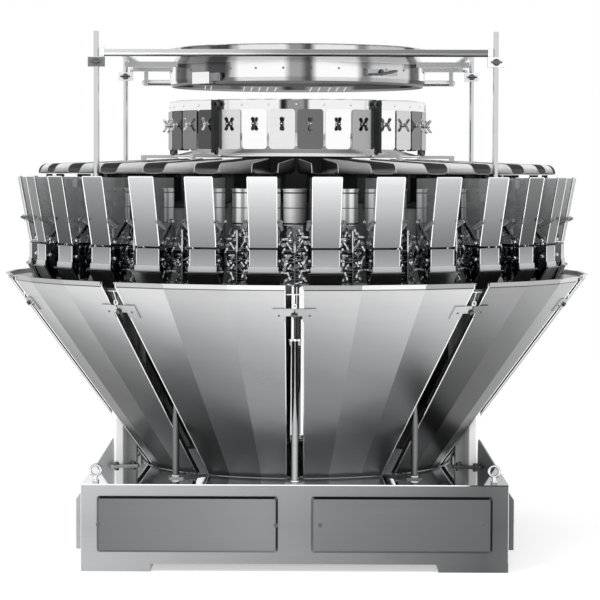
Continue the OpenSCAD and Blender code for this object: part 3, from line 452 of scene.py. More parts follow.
@cache
def finishes():
    """Makes every material once, each under a short name and named for the real one."""
    colours = bpy.context.scene.weigher_finishes
    even = lambda colour: ("z", 0.0, 2.0, f"{colour} {colour}")
    # Where tones run from and to, in metres: the chute's slope, its height and the hoppers.
    slope = ("slope", 0.31, 1.012)
    chute = ("z", 0.31, 1.03)
    hoppers = ("z", 1.0, 1.391)
    # Noise drawn out lengthwise on bars.
    bar = (60.0, 60.0, 4.0)
    return {
        # Bright annealed sheet folded in flats, with painted reflections: dark where it would mirror the
        # base, light at the rim, and darker towards the sides. Each flat has its own painted level, as
        # mirrors of a room do, and a painted dark crease runs under the light lip.
        "chute": steel("folded_bright_sheet", [
            (*slope, "0 #b0b1b2  0.12 #a4a5a6  0.3 #939495  0.55 #abacad  0.72 #c2c3c4  0.92 #e6e7e8  1 #f4"),
            (*slope, "0 #ff  0.3 #ec  0.55 #d8  1 #d5", ("z", 1.013, 1.011)),
            (*slope, "0 #c8  0.2 #a4  0.42 #9a  0.7 #cc  0.92 #ff",
             bands("plate", "-90 #ff  -36 #f0  -24 #70  -12 #00  0 #70  12 #40  24 #80  36 #f0  48 #e0")),
            bands("plate", "-90 #e8  -48 #ff  -24 #ec  -12 #fb  0 #f4  12 #fb  24 #ff  36 #c0  60 #e4"),
            ("z", 1.004, 1.03, steps("0 #ff  0.18 #9c  0.34 #ff")),
            (*bands("plate", "-90 #d0  -24 #ff  0 #b8  12 #ff  24 #b8  36 #ff"), ("z", 1.0085, 1.0105)),
        ], 0.3),
        # The funnel and the flanges are darker, as painted shade, so that the gaps read as gaps; both are
        # darker lower down.
        "chute_trim": steel("folded_edge", [(*chute, "#8b8c8d #f2")], 0.25),
        "chute_inner": steel("flange_sheet", [(*chute, "#55565a #8f9092")], 0.25),
        # Painted light and reflections: hopper fronts run from nearly white at the top to mid grey at the
        # foot, and each front has its own painted level, darker towards the sides.
        "feed_front": steel("feed_hopper_sheet", [
            ("z", 1.151, 1.391, "0 #777879  0.25 #898a8b  0.6 #a8a9aa  0.88 #bfc0c1  1 #cfd0d1"),
            bands("plate", "-90 #96  -48 #c2  -36 #f6  -24 #ff  24 #e8  36 #ee  48 #9c"),
        ], 0.2),
        # The weigh hoppers' fronts are painted darker upwards, as shade under the feed hoppers.
        "weigh_front": steel("weigh_hopper_sheet", [("z", 1.086, 1.144, "#a9aaab #8b8c8e")], 0.2),
        # The gates are painted dark below their lip, as shade, and the lip is painted light, where it catches
        # the light.
        "weigh_gate": steel("weigh_gate_sheet", [
            ("z", 1.0, 1.086, "0 #6a6b6c  0.66 #747576  0.7 #a2a3a4  1 #c4c5c6")], 0.3),
        # Hopper sides mirror the linkage between them and double it, and painted shade darkens them towards
        # the foot.
        "hopper_side": steel("hopper_side_sheet", [(*hoppers, "#808183 #c9cacb")], 0.06, grain_depth=0.03,
                             metallic=0.8),
        "weigh_side": steel("weigh_side_sheet", [(*hoppers, "#808183 #c9cacb")], 0.05, grain_depth=0.03),
        # Painted reflection: the casing is darkest in the middle, where it would mirror the unlit space
        # between the hoppers.
        "casing": steel("casing_sheet", [("off_centre", 0.1, 0.6, "#2a2b2c #7c7d7e")], 0.4, metallic=0.3),
        # Backs and gates inside the hoppers lie in their shade, painted dark and darker towards the foot.
        "hopper_inner": steel("hopper_inner_sheet", [(*hoppers, "#55565a #8a8b8d")], 0.2),
        # Painted light and shade: the pans' two walls alternate, light on the wall that faces out and dark on
        # the other; the pans at the front are darker, and all lighten towards the rim.
        "pan": steel("feeder_pan_sheet", [
            ("z", 1.401, 1.457, "#dc #f4 #ff"),
            ("away", -0.4, 0.4, "0 #4c  0.45 #8c  1 #ff"),
            ("side", 0.05, 0.5, "0 #30  0.3 #74  0.7 #ff  1 #ff")], 0.34, metallic=0.45),
        # Each gate plate has a painted reflection of another part of the room, so that light and dark plates
        # alternate.
        "gate": steel("gate_plate_sheet", [
            bands("plate", "-90 #4a  -72 #33  -60 #80  -48 #55  -36 #dc  -24 #fd  -12 #e9  0 #70  12 #fd"
                  "  24 #ab  36 #fd  48 #d2  60 #70")], 0.12, bump=0.0),
        # The rolled drum has painted reflections of the room in upright bands, with a painted darker band
        # under its rim and painted shade on its inside.
        "drum": steel("drum_sheet", [
            (*bands("azimuth", "-90 #ff  -69 #40  -57 #8a  -43 #4c  -31 #c4  -27 #fd  -4 #a0  3 #58  7.5 #fd"
                    "  28 #9a  34 #d2  59 #4a  70 #fd", 0.008), ("outward", -0.1, 0.1)),
            ("z", 1.728, 1.872, steps("0 #ff  0.56 #cc  0.76 #ec", soft=0.02)),
            ("outward", -0.3, 0.3, "#a8 #ff"),
        ], 0.14, bump=0.0, grain_depth=0.02),
        # The hem carries the same painted reflection bands, with painted shade along its foot and on its
        # inside.
        "drum_hem": steel("drum_hem_sheet", [
            (*bands("azimuth", "-90 #ff  -69 #40  -57 #8a  -27 #ff  -4 #a0  3 #60  7.5 #ff  28 #a4  34 #d2"
                    "  59 #4a", 0.008), ("z", 1.7365, 1.7375)),
            ("z", 1.728, 1.751, steps("0 #8a  0.4 #ff"), ("outward", -0.1, 0.1)),
            ("outward", -0.3, 0.3, "#a0 #ff")], 0.45, bump=0.0),
        # The collar is evenly light, with a painted reflection:
        # One dark upright stripe near the middle, as the photo's collar has.
        "collar": steel("collar_sheet", [
            even("#f2"),
            bands("azimuth", "-90 #ff  -7 #2c  -4 #9a  3.4 #5c  5.2 #ff", 0.003)], 0.15, bump=0.0),
        # The cone is painted grey above its light rim, as a reflection of the gate ring, most of all at the
        # front.
        "cone": steel("cone_sheet", [
            even("#ec"),
            ("z", 1.466, 1.506, steps("0 #ff  0.26 #5c  0.58 #7c  0.92 #ff", soft=0.03),
             bands("azimuth", "-90 #60  -32 #ff  33 #60"))], 0.2, bump=0.0),
        # The latch box mirrors only the white room.
        "white_sheet": steel("polished_plate", [even("#f4")], 0.18),
        # Brushed lengthwise, and painted darker towards the right as shade, away from the key light, and a
        # little darker at mid height.
        "base": steel("brushed_base_sheet", [
            ("x", -0.76, 0.76, "0 #b0b1b2  0.1 #abacad  0.45 #929394  0.62 #868788  0.94 #5d5e5f  1 #656667"),
            ("z", 0.028, 0.31, "#ff #f0 #ff")], 0.34, grain=(1.5, 1.5, 120.0)),
        # The covers are a shade darker than the base, with painted shade on the bevels above and at the
        # right, and painted light and shade across them from left to right.
        "cover": steel("brushed_cover_sheet", [
            ("x", -0.7, 0.7, "0 #6e6f70  0.42 #858687  0.5 #7e7f80  0.58 #767778  1 #5f6061"),
            ("up", 0.3, 0.7, "#ff #58"), ("right", 0.3, 0.7, "#ff #6a")], 0.34, grain=(1.5, 1.5, 140.0)),
        # Nearly a mirror: it doubles the feet of the rods and the chute, and painted shade darkens its right
        # end.
        "base_top": steel("mirror_base_top", [
            ("x", 0.56, 0.66, "0 #e4e5e6  0.45 #c8c9ca  0.6 #3c3d3e  1 #2c2d2e")], 0.05, bump=0.0),
        # Painted shade: the legs darken inwards, and the outer faces of the right ones are painted dark.
        "leg": steel("leg_column_sheet", [
            ("radius", 0.62, 0.73, "0 #b4  0.45 #7c  0.6 #90  0.64 #ff"),
            ("x", -0.8, 0.8, steps("0 #ff  0.5 #56"), ("radius", 0.733, 0.738))], 0.3),
        # Painted shade: rods darken towards the sides of the machine and have a painted dark edge.
        "rod": steel("tie_rod_bar", [
            ("side", 0.1, 0.4, "#c2c3c4 #7c"), ("behind", -0.9, 0.9, "0 #8c  0.3 #ff  1 #9c")], 0.25),
        # The feeder drives and the cone's pedestal are near black and satin, as painted shade.
        "housing": moulded("dark_housing", colours.housing, 0.35, 0.3),
        # Machined bars have short soft glints, and painted shade darkens them downwards.
        "machined": steel("machined_steel", [("z", 1.0, 1.4, "#6e7072 #b5b6b8")], 0.22, grain=bar),
        # Levers are a shade darker than the bars beside them, and painted shade darkens them downwards too.
        "lever": steel("lever_steel", [("z", 1.0, 1.4, "#55575a #8b8d90")], 0.2, grain=bar),
        # A satin cylinder with painted light and shade: lighter at the top, light on the left and dark on the
        # right at the front, and in painted reflection bands elsewhere.
        "drive": steel("drive_housing_sheet", [
            ("z", 1.22, 1.35, "0 #e0  0.7 #fa  1 #ff"),
            ("around", -1.0, 1.0, "0 #ff  0.3 #f4  0.55 #a0  0.8 #62  1 #48", ("off_centre", 0.09, 0.08)),
            ("behind", -1.0, 1.0, steps("0 #ff  0.36 #9c  0.52 #f4  0.72 #8c  0.9 #c4", 0.03),
             ("off_centre", 0.08, 0.09))], 0.5, grain=(90.0, 90.0, 2.0), metallic=0.0),
        # Polished bars are nearly white, with thin dark edges.
        "tube": steel("polished_tube", [even("#d2d3d4")], 0.1, bump=0.0),
        # The infeed's front tubes are painted light on the left side and darker on the right, as light and
        # shade.
        "frame_tube": steel("infeed_tube", [
            ("x", -0.7, 0.7, "0 #fa  0.35 #d8  0.5 #a0  1 #8a", ("y", 0.1, -0.1)),
            even("#e4e5e5")], 0.22, bump=0.0),
        # The uprights are dark, and only their feet are painted light, as a highlight that matches the cone's
        # bright rim.
        "upright": steel("upright_lit_foot", [
            ("z", 1.462, 1.5, steps("0 #c2  0.4 #202122", soft=0.02))], 0.4, metallic=0.5),
        # Cast knobs are dull, and their painted light and shade alternate as the plates behind them do.
        "wing": steel("cast_wing_knob", [
            bands("plate", "-90 #d4  -36 #2a  0 #6c  12 #26  36 #6a  48 #8c  60 #b8")], 0.4, metallic=0.6),
        # The side tubes and the drum's bead lie in shade, painted as an even darker tone.
        "dark_tube": steel("shaded_tube", [even("#77787a")], 0.15, bump=0.0),
        # Fasteners are darker than the sheet, so that they show as dots.
        "bolt": steel("bolt_steel", [even("#66686b")], 0.25, bump=0.0),
        # Rolled edges are painted nearly white, as highlights: thin white lines where they catch the light.
        "bright": steel("bright_edge", [even("#f4")], 0.2, bump=0.0),
        # Cast clamps are light and dull, and the front left one is painted dark below, as shade.
        "clamp": steel("cast_clamp", [
            ("z", 1.8, 1.824, steps("0 #77797b  0.5 #fa"), ("corner", -0.5, -0.9)), even("#ec")], 0.45,
                       metallic=0.5),
        # Rubber mounts are black and dull.
        "rubber": moulded("black_rubber", "#202021", 0.6),
    }


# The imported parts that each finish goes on.
FINISHED = {
    "base": "base_walls foot_plates side_boxes leg_pads rod_pads", "base_top": "base_top_plate",
    "cover": "front_covers", "tube": "eyebolts infeed_posts", "chute": "chute_sections chute_clips",
    "chute_trim": "collecting_funnel", "chute_inner": "chute_stiffeners", "leg": "legs", "rod": "tie_rods",
    "casing": "body_casing", "drive": "drive_housings", "lever": "drive_levers gate_levers",
    "feed_front": "feed_hopper_fronts", "hopper_side": "feed_hopper_sides",
    "hopper_inner": "feed_hopper_backs feed_hopper_gates weigh_hopper_backs",
    "weigh_front": "weigh_hopper_fronts", "weigh_side": "weigh_hopper_sides",
    "weigh_gate": "weigh_hopper_gates", "housing": "feeder_drives cone_pedestal", "pan": "feeder_pans",
    "machined": "hopper_hangers post_brackets drum_arms drum_lever", "cone": "dispersion_cone",
    "collar": "gate_collar", "gate": "gate_plates", "wing": "wing_knobs", "upright": "gate_uprights",
    "clamp": "infeed_clamps", "frame_tube": "infeed_tubes", "dark_tube": "infeed_side_tubes",
    "drum": "infeed_drum", "drum_hem": "drum_collar", "white_sheet": "drum_latch",
}
NODE_FINISH = {node: finish for finish, nodes in FINISHED.items() for node in nodes.split()}


def shown(name, data):
    """A new object in the scene, at the origin."""
    made = bpy.data.objects.new(name, data)
    bpy.context.scene.collection.objects.link(made)
    return made


def piece(name, shape, material, body="machine"):
    """Puts a shape into the scene in metres, finishes it and makes it ride on its body."""
    mesh = bpy.data.meshes.new(name)
    mesh.from_pydata((shape.verts * MM).tolist(), [], shape.quads.tolist() + shape.tris.tolist())
    mesh.validate()
    mesh.shade_smooth()
    mesh.set_sharp_from_angle(angle=SHARP)
    mesh.materials.append(finishes()[material])
    made = shown(name, mesh)
    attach(made, body)
    return made


# Pieces

class WEIGHER_OT_finish(bpy.types.Operator):
    """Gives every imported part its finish"""
    bl_idname = "weigher.finish"
    bl_label = "Finish the packed parts"

    def execute(self, context):
        for name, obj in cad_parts.items():
            finish = finishes()[NODE_FINISH[name]]
            for slot in obj.material_slots:
                slot.material = finish
            if not obj.material_slots:
                obj.data.materials.append(finish)
        return {"FINISHED"}


def both(shape, drop=0.0):
    """A shape and its mirror image across x, which may stand lower."""
    return joined([shape, shape.mirrored().moved(z=-drop)])


def smooth_path(points, count=24):
    """Points spaced evenly by index along the polyline's Catmull-Rom curve."""
    p = np.asarray(points, float)
    p = np.concatenate([2 * p[:1] - p[1:2], p, 2 * p[-1:] - p[-2:-1]])
    t = np.linspace(0, len(points) - 1, count)
    i = np.minimum(t.astype(int), len(points) - 2)
    u = (t - i)[:, None]
    a, b, c, d = p[i], p[i + 1], p[i + 2], p[i + 3]
    curve = (2 * a - 5 * b + 4 * c - d) * u ** 2 + (3 * b - a - 3 * c + d) * u ** 3
    return 0.5 * (2 * b + (c - a) * u + curve)


def line(a, b, radius, sides=8):
    """A round bar between two points."""
    return tube([a, b], radius, sides)


class WEIGHER_OT_hopper_edges(bpy.types.Operator):
    """Folds a hem round every hopper front and puts the hinge pins in"""
    bl_idname = "weigher.hopper_edges"
    bl_label = "Hopper hems and hinge pins"

    def execute(self, context):
        r = context.scene.weigher_sizes.hem_d / 2
        side = tube([(47.5, -FOOT_R, FEED_FOOT + 2), (50.5, -TOP_R, FEED_TOP - 2)], r)
        top = line((-50, -TOP_R + 1, FEED_TOP - 1), (50, -TOP_R + 1, FEED_TOP - 1), r)
        weigh = line((46.5, -FOOT_R, WEIGH_WALL + 2), (46.5, -FOOT_R, WEIGH_TOP - 2), 0.8 * r)
        hems = joined([both(side), top, both(weigh)])
        piece("hopper_hems", ring(hems, heads()), "bright")
        # Half length, radius from the axis, height and pin radius of each hinge pin.
        places = [(62, FOOT_R - 12, FEED_FOOT + 22, 4.0), (61, FOOT_R + 9, WEIGH_WALL - 22, 3.6),
                  (60, BACK_R + 14, WEIGH_WALL - 2, 4.0)]
        pins = joined([line((-half, -out, z), (half, -out, z), pin) for half, out, z, pin in places])
        piece("hopper_hinge_pins", ring(pins, heads()), "bolt")
        return {"FINISHED"}


class WEIGHER_OT_hopper_linkage(bpy.types.Operator):
    """Hangs the return springs, rollers, bent links and bolts between the hoppers"""
    bl_idname = "weigher.hopper_linkage"
    bl_label = "Hopper springs and links"

    def execute(self, context):
        sizes = context.scene.weigher_sizes
        spring = coil(sizes.spring_d / 2, sizes.wire_d, 12, 58, 8, 4).turned(math.radians(62), "x")
        feed_spring = spring.moved(x=58.5, y=-FOOT_R + 22, z=FEED_FOOT + 62)
        weigh_spring = coil(sizes.spring_d / 2.4, sizes.wire_d, 10, 44, 8, 4).moved(
            x=58.0, y=-BACK_R - 30, z=WEIGH_WALL + 6)
        piece("return_springs", ring(joined([both(feed_spring), both(weigh_spring)]), heads()), "lever")
        out = facing_out(hex_bolt(sizes.bolt_d * 0.55, 4)).turned(math.pi / 2)
        spots = [(FOOT_R - 17, FEED_FOOT + 13), (BACK_R + 17, FEED_FOOT + 85),
                 (FOOT_R - 17, WEIGH_WALL + 19), (BACK_R + 17, WEIGH_WALL + 10)]
        bolts = joined([out.moved(x=52.0, y=-radius, z=z) for radius, z in spots])
        piece("lever_bolts", ring(both(bolts), heads()), "bright")
        # Bent links from the cranks to the gates, with a roller at each end.
        bent = tube(smooth_path([(16, -FRONT - 18, 1176), (27, -FRONT - 42, 1160), (24, -FRONT - 58, 1128),
                                 (30, -FRONT - 40, 1098)]), 2.8, 7)
        hook = tube(smooth_path([(10, -FRONT - 20, 1210), (20, -FRONT - 44, 1218), (30, -FRONT - 48, 1196),
                                 (22, -FRONT - 34, 1176)]), 2.0, 7)
        piece("bent_links", ring(joined([bent, hook.mirrored()]), heads(0)), "lever")
        wheel = [(0, 0), (7, 0), (8, 1), (8, 5), (5, 6), (5, 8), (2, 8.5), (0, 8.5)]
        roller = facing_out(revolved(wheel, 18))
        rollers = joined([roller.moved(x=x, y=-FRONT - out, z=z)
                          for x, out, z in ((16, 16.2, 1176), (30, 40, 1098))])
        piece("link_rollers", ring(both(rollers), heads(0)), "tube")
        nut = facing_out(hex_bolt(9, 5))
        nuts = joined([nut.moved(y=-FRONT - out, z=z) for out, z in ((26, 1192), (22, 1140), (22, 1110))])
        piece("link_nuts", ring(nuts, heads(0)), "bright")
        return {"FINISHED"}


# Latches between the hoppers: distance to each side, height, and distance out from the drive. The
# first ones carry thin plates and the rest broad ones, and the left side hangs a little lower.
LATCHES = [(17, 1203, 30), (34, 1186, 48), (20, 1163, 46), (38, 1147, 58), (24, 1130, 40), (36, 1108, 54),
           (18, 1092, 50), (38, 1072, 44), (20, 1060, 48), (34, 1040, 40), (14, 1030, 46), (26, 1194, 24),
           (38, 1166, 34), (10, 1148, 30), (28, 1119, 28), (9, 1084, 26), (36, 1090, 38), (24, 1048, 30)]
THIN_LATCHES = 11
LATCH_DROP = 8.0


class WEIGHER_OT_latch_sets(bpy.types.Operator):
    """Fills the space between the hoppers with the latch plates, springs, pins and screws of both gates"""
    bl_idname = "weigher.latch_sets"
    bl_label = "Gate latches between the hoppers"

    def execute(self, context):
        def plate(place, w, h, tilt):
            """A small latch plate tilted in its own plane, out in front of the drive."""
            x, z, out = place
            flat = prism(rectangle(w, h, min(w, h) * 0.35), 2.4, 0.4).turned(math.radians(tilt))
            return facing_out(flat).moved(x=x, y=-FRONT - out, z=z)

        thin = [plate(place, 6 + k % 2, 20 + 5 * (k % 3), 24 + 62 * k)
                for k, place in enumerate(LATCHES[:THIN_LATCHES])]
        piece("latch_plates", ring(both(joined(thin), LATCH_DROP), heads(0)), "tube")
        broad = [plate(place, 10 + 3 * (k % 2), 16 + 2 * k, 10 + 70 * k)
                 for k, place in enumerate(LATCHES[THIN_LATCHES:])]
        piece("latch_blocks", ring(both(joined(broad), LATCH_DROP), heads(0)), "machined")
        spring = coil(3.6, 1.5, 9, 30, 6, 3)
        places = (28, 9, 58, 1140), (-34, 27, 54, 1054), (70, -6, 60, 1101)
        springs = joined([spring.turned(math.radians(tilt), "y").moved(x=x, y=-FRONT - out, z=z)
                          for tilt, x, out, z in places])
        piece("latch_springs", ring(springs, heads(0)), "tube")
        pin = facing_out(screw_head(6, 2.4))
        pins = joined([pin.moved(x=x, y=-FRONT - out - 2.4, z=z) for x, z, out in LATCHES])
        piece("latch_pins", ring(both(pins, LATCH_DROP), heads(0)), "bright")
        sleeve = line((0, -FRONT - 64, 1134), (0, -FRONT - 64, 1208), 5.0)
        piece("push_rod_sleeves", ring(sleeve, heads(0)), "tube")
        # A thin plate on the arm under each drive carries the pins that the latches turn on.
        carrier = block(3, 54, 190, 0.4).moved(y=-FRONT - 39, z=1022)
        shafts = [line((0, -FRONT - out - 1.2, z), (x, -FRONT - out - 1.2, z), 1.8, 6)
                  for x, z, out in LATCHES]
        carriers = joined([carrier, both(joined(shafts), LATCH_DROP)])
        piece("latch_carriers", ring(carriers, heads(0)), "lever")
        return {"FINISHED"}


class WEIGHER_OT_drive_trim(bpy.types.Operator):
    """Adds seals, clamp bands and screws to the drive housings"""
    bl_idname = "weigher.drive_trim"
    bl_label = "Drive housing trim"

    def execute(self, context):
        wall = 41.2
        bands_at = [(DRIVE_FOOT + 6, 3.0), (DRIVE_TOP - 10, 2.2), (DRIVE_FOOT + 60, 1.4)]
        rounds = [revolved([(wall, z - r), (wall + r, z), (wall, z + r)], 28, math.pi, math.pi)
                  for z, r in bands_at]
        piece("drive_bands", ring(joined(rounds).moved(y=-DRIVE_R), heads(0)), "bolt")
        screw = screw_head(9, 3.2)
        spots = [(31 * math.cos(t), 31 * math.sin(t)) for t in np.linspace(0, math.pi, 5)]
        tops = joined([screw.moved(x=x, y=-DRIVE_R - abs(y), z=DRIVE_TOP + 4) for x, y in spots])
        piece("drive_cap_screws", ring(tops, heads(0)), "bolt")
        return {"FINISHED"}


class WEIGHER_OT_pan_edges(bpy.types.Operator):
    """Rolls the rims of the feeder pans and adds their rubber mounts"""
    bl_idname = "weigher.pan_edges"
    bl_label = "Feeder pan rims and mounts"

    def execute(self, context):
        round_r, middle_z = 32, PAN_TOP - 52
        corner = [(45.0, -(PAN_OUT_R - round_r + round_r * math.sin(t)), middle_z + round_r * math.cos(t))
                  for t in np.linspace(0, math.pi / 2, 7)]
        rim = tube([(45.0, -PAN_IN_R - 2, PAN_TOP), *corner], 1.2, 6)
        piece("pan_rims", ring(both(rim), heads()), "tube")
        buffer = revolved([(0, 0), (9, 0), (11, 3), (7.5, 6), (11, 9), (9, 10), (0, 10)], 14)
        mount = joined([buffer.moved(x=14, y=-y, z=PAN_FLOOR - 12) for y in (800, 945)])
        piece("pan_mounts", ring(both(mount), heads()), "rubber")
        return {"FINISHED"}


class WEIGHER_OT_gate_trim(bpy.types.Operator):
    """Adds the knob studs, the collar's screws and rim, and the upright bolts"""
    bl_idname = "weigher.gate_trim"
    bl_label = "Gate ring trim"

    def execute(self, context):
        stud = facing_out(joined([screw_head(8, 4).moved(z=15), prism(polygon(14, 8.5), 2.4, 0.4)]))
        piece("knob_studs", ring(stud.moved(y=-KNOB_R, z=KNOB_Z), heads()), "bright")
        screws = facing_out(screw_head(9, 3)).moved(y=-GATE_R, z=COLLAR_TOP - 17)
        piece("collar_screws", ring(screws, heads(0)), "bright")
        edge = [(482, 0), (486.5, 0.4), (487.2, 2.5), (484, 4), (481, 2.5)]
        piece("collar_rim", revolved(edge, 180).moved(z=COLLAR_TOP), "bright")
        head = facing_out(hex_bolt(13, 6)).turned(math.pi / 2)
        bolts = joined([head.moved(x=6.0, y=-GATE_R - 20, z=z) for z in (1480, 1655)])
        piece("upright_bolts", ring(both(bolts), gaps(UPRIGHT_GAPS)), "bolt")
        return {"FINISHED"}


class WEIGHER_OT_chute_edges(bpy.types.Operator):
    """Hems the gaps between the chute sections and bolts the clips together"""
    bl_idname = "weigher.chute_edges"
    bl_label = "Chute hems and clips"

    def execute(self, context):
        hem = context.scene.weigher_sizes.hem_d / 2
        x = 31.0

        def beside(r):
            """How far out the flat lies x beside the gap, for flats whose middles lie r out."""
            return (r - x * math.sin(PITCH / 2)) / math.cos(PITCH / 2) + 0.5

        foot, rim = -beside(CHUTE_FOOT_R), -beside(CHUTE_RIM_R)
        edge = tube([(x, foot, CHUTE_FOOT + 1), (x, rim, CHUTE_LIP), (x, rim, CHUTE_RIM - 2)], hem, 8)
        piece("gap_hems", ring(both(edge), gaps()), "bright")
        # The clip's bolt passes through the slot between the two tongues.
        lean = math.pi / 2 + math.atan2(CHUTE_RIM_R - CHUTE_FOOT_R, CHUTE_LIP - CHUTE_FOOT)
        washer = joined([prism(rectangle(24, 18, 4), 3, 0.6), prism(polygon(6, 8.4), 8, 0.8).moved(z=3)])
        pin = washer.turned(lean, "x").moved(y=-1034.5, z=927)
        rivet = screw_head(8, 3).turned(lean, "x").moved(x=52, y=-1029, z=922)
        piece("clip_bolts", ring(joined([pin, both(rivet)]), gaps()), "bolt")
        # Round catches hang under the clips inside the gap, from a bar near the lip.
        bar_r, bar_z = 1066, 996
        catch = revolved([(5, 0), (9, 0), (10, 2), (9, 4), (5, 4), (5, 0)], 18)
        catch = facing_out(catch).moved(y=-1052, z=956)
        bar = line((-26, -bar_r, bar_z), (26, -bar_r, bar_z), 2.2)
        stem = line((0, -bar_r, bar_z), (0, -1034, 930), 2.6)
        piece("gap_catches", ring(joined([catch, bar, stem]), gaps()), "bright")
        return {"FINISHED"}


class WEIGHER_OT_rod_nuts(bpy.types.Operator):
    """Puts the nuts on the tie rods and the bolts in the leg pads"""
    bl_idname = "weigher.rod_nuts"
    bl_label = "Rod nuts and pad bolts"

    def execute(self, context):
        nut = prism(polygon(6, 8), 9, 1.0)
        fork_z = 813
        top = joined([nut.moved(z=fork_z), nut.moved(z=fork_z - 27), both(nut.moved(x=14, z=fork_z)),
                      prism(polygon(20, 15), 6, 1).moved(z=PAD_TOP)])
        piece("rod_nuts", ring(top.moved(y=-ROD_R), gaps(ROD_GAPS)), "bright")
        bolt = hex_bolt(15, 8)
        feet = joined([bolt.moved(x=36, y=-y, z=PAD_TOP) for y in (650, 715)])
        piece("pad_bolts", ring(both(feet), gaps(LEG_GAPS)), "bolt")
        rod_feet = bolt.moved(x=23, y=-655, z=PAD_TOP)
        piece("rod_pad_bolts", ring(both(rod_feet), gaps(ROD_GAPS)), "bolt")
        return {"FINISHED"}


class WEIGHER_OT_base_trim(bpy.types.Operator):
    """Adds cover screws, side box screws and corner seams to the base"""
    bl_idname = "weigher.base_trim"
    bl_label = "Base trim"

    def execute(self, context):
        d = context.scene.weigher_sizes.screw_d
        screw = facing_out(joined([screw_head(d, 3.4), prism(polygon(18, d * 0.72), 1.2, 0.3)]))
        front = joined([screw.moved(x=x, y=-BASE_HALF - 12, z=168) for x in (-690.5, -65.5, 91, 670.5)])
        piece("cover_screws", front, "bolt")
        side = joined([screw.moved(x=x, y=-BASE_HALF - 30, z=160) for x in (-590, 0, 590)])
        piece("side_box_screws", ring(side, [math.pi / 2, -math.pi / 2]), "bolt")
        edge = BASE_HALF - 0.6
        seam = line((edge, -edge, 32), (edge, -edge, BASE_TOP - 2), 1.2)
        piece("corner_seams", ring(seam, [k * math.pi / 2 for k in range(4)]), "tube")
        return {"FINISHED"}


class WEIGHER_OT_drum_trim(bpy.types.Operator):
    """Adds the drum's rivets, rims, hem slots, latch and lever fittings"""
    bl_idname = "weigher.drum_trim"
    bl_label = "Infeed drum trim"

    def execute(self, context):
        rivet = facing_out(screw_head(8, 2.6)).moved(y=-DRUM_R, z=DRUM_Z + 55)
        at = [math.radians(a) + math.radians(6.4) for a in range(0, 360, 12)]
        piece("drum_rivets", ring(rivet, at), "bolt", "infeed")
        edge = [(484.5, -2.6), (487, -3.6), (489, -1.6), (487, -0.1), (484.5, -0.4)]
        rim = revolved(edge, 180).moved(z=DRUM_TOP)
        piece("drum_rim", rim, "bright", "infeed")
        bead = revolved([(476, 0.2), (478.4, 0.6), (478.2, 2.6), (476.2, 3)], 180).moved(z=DRUM_Z)
        piece("drum_bead", bead, "dark_tube", "infeed")
        # Slanted slots in the hem at the back, seen through the open bottom.
        slot = facing_out(prism(rectangle(4, 20, 1.6), 0.8, 0.1).turned(math.radians(28)))
        slot = slot.turned(math.atan2(9, 23), "x").moved(y=-477.2, z=DRUM_Z + 12).turned(math.pi)
        places = [27, 23, 19, 15, 11, 46, 50, -6, -10, -15, -19, -23]
        piece("drum_slots", ring(slot, [math.radians(a) for a in places]), "bright", "infeed")
        keeper = facing_out(joined([
            prism(rectangle(46, 30, 3), 14, 1.0), prism(rectangle(34, 18, 3), 1.2, 0.4).moved(z=14),
            screw_head(6, 2.4).moved(x=10, z=15)])).moved(x=67, y=-DRUM_R + 4, z=DRUM_Z + 25)
        piece("latch_keeper", keeper.turned(math.radians(-44)), "lever", "infeed")
        handle = tube(smooth_path([(-66, -DRUM_R - 18, 1762), (-20, -DRUM_R - 26, 1764),
                                   (30, -DRUM_R - 27, 1771), (64, -DRUM_R - 18, 1778)]), 4.2, 8)
        pivot = facing_out(hex_bolt(16, 7)).moved(x=-8, y=-DRUM_R - 14, z=1771)
        piece("lever_handle", joined([handle, pivot]).turned(math.radians(39)), "bolt", "infeed")
        return {"FINISHED"}


class WEIGHER_OT_frame_trim(bpy.types.Operator):
    """Adds tube plugs, post caps and the clamp screws with their handles"""
    bl_idname = "weigher.frame_trim"
    bl_label = "Infeed frame trim"

    def execute(self, context):
        corners = [(x, y) for x in (-POST_X, POST_X) for y in (-POST_Y, POST_Y)]
        dome = revolved([(10.0, 0), (9.2, 3), (6, 5.5), (0.01, 6.4)], 20)
        caps = joined([dome.moved(x=x, y=y, z=POST_TOP) for x, y in corners])
        piece("post_caps", caps, "tube")
        grip = joined([facing_out(hex_bolt(17, 8)), line((-20, -14, 0), (20, -14, 0), 3.4)])
        screws = joined([grip.moved(x=x, y=y - 15.6, z=CLAMP_Z) for x, y in corners])
        piece("clamp_screws", screws, "bolt", "infeed")
        plug = revolved([(12.9, 0), (11.6, 4), (7.5, 8), (0.01, 9.5)], 20).turned(math.pi / 2, "y")
        ends = both(plug.moved(x=630, y=POST_Y, z=LOW_TUBE_Z))
        piece("tube_plugs", ends, "tube", "infeed")
        return {"FINISHED"}


class WEIGHER_OT_stage(bpy.types.Operator):
    """Sets the floor, the light and the camera"""
    bl_idname = "weigher.stage"
    bl_label = "Set the stage"

    def execute(self, context):
        stage_floor()
        stage_light()
        stage_camera()
        return {"FINISHED"}


# Half the floor's side in metres, its tone, and the glow that makes it white to the camera.
FLOOR_HALF, FLOOR_TONE, FLOOR_GLOW = 9.0, 0.93, 0.42
# Strength of the room for diffuse light, and for the camera and gloss.
ROOM_LIGHT, ROOM_WHITE = 0.55, 1.0
# Name, side in metres, watts, place and aim of each soft lamp.
SOFTBOXES = [
    ("key_softbox", 3.0, 160.0, (-3.4, -4.2, 4.6), (0, 0, 1.0)),
    ("fill_softbox", 3.4, 60.0, (4.0, -3.6, 3.0), (0, 0, 0.9)),
    ("front_softbox", 2.4, 420.0, (0.3, -9.6, 1.6), (0, 0, 1.25)),
]
SENSOR_MM, FRAME_PX = 36.0, 600.0


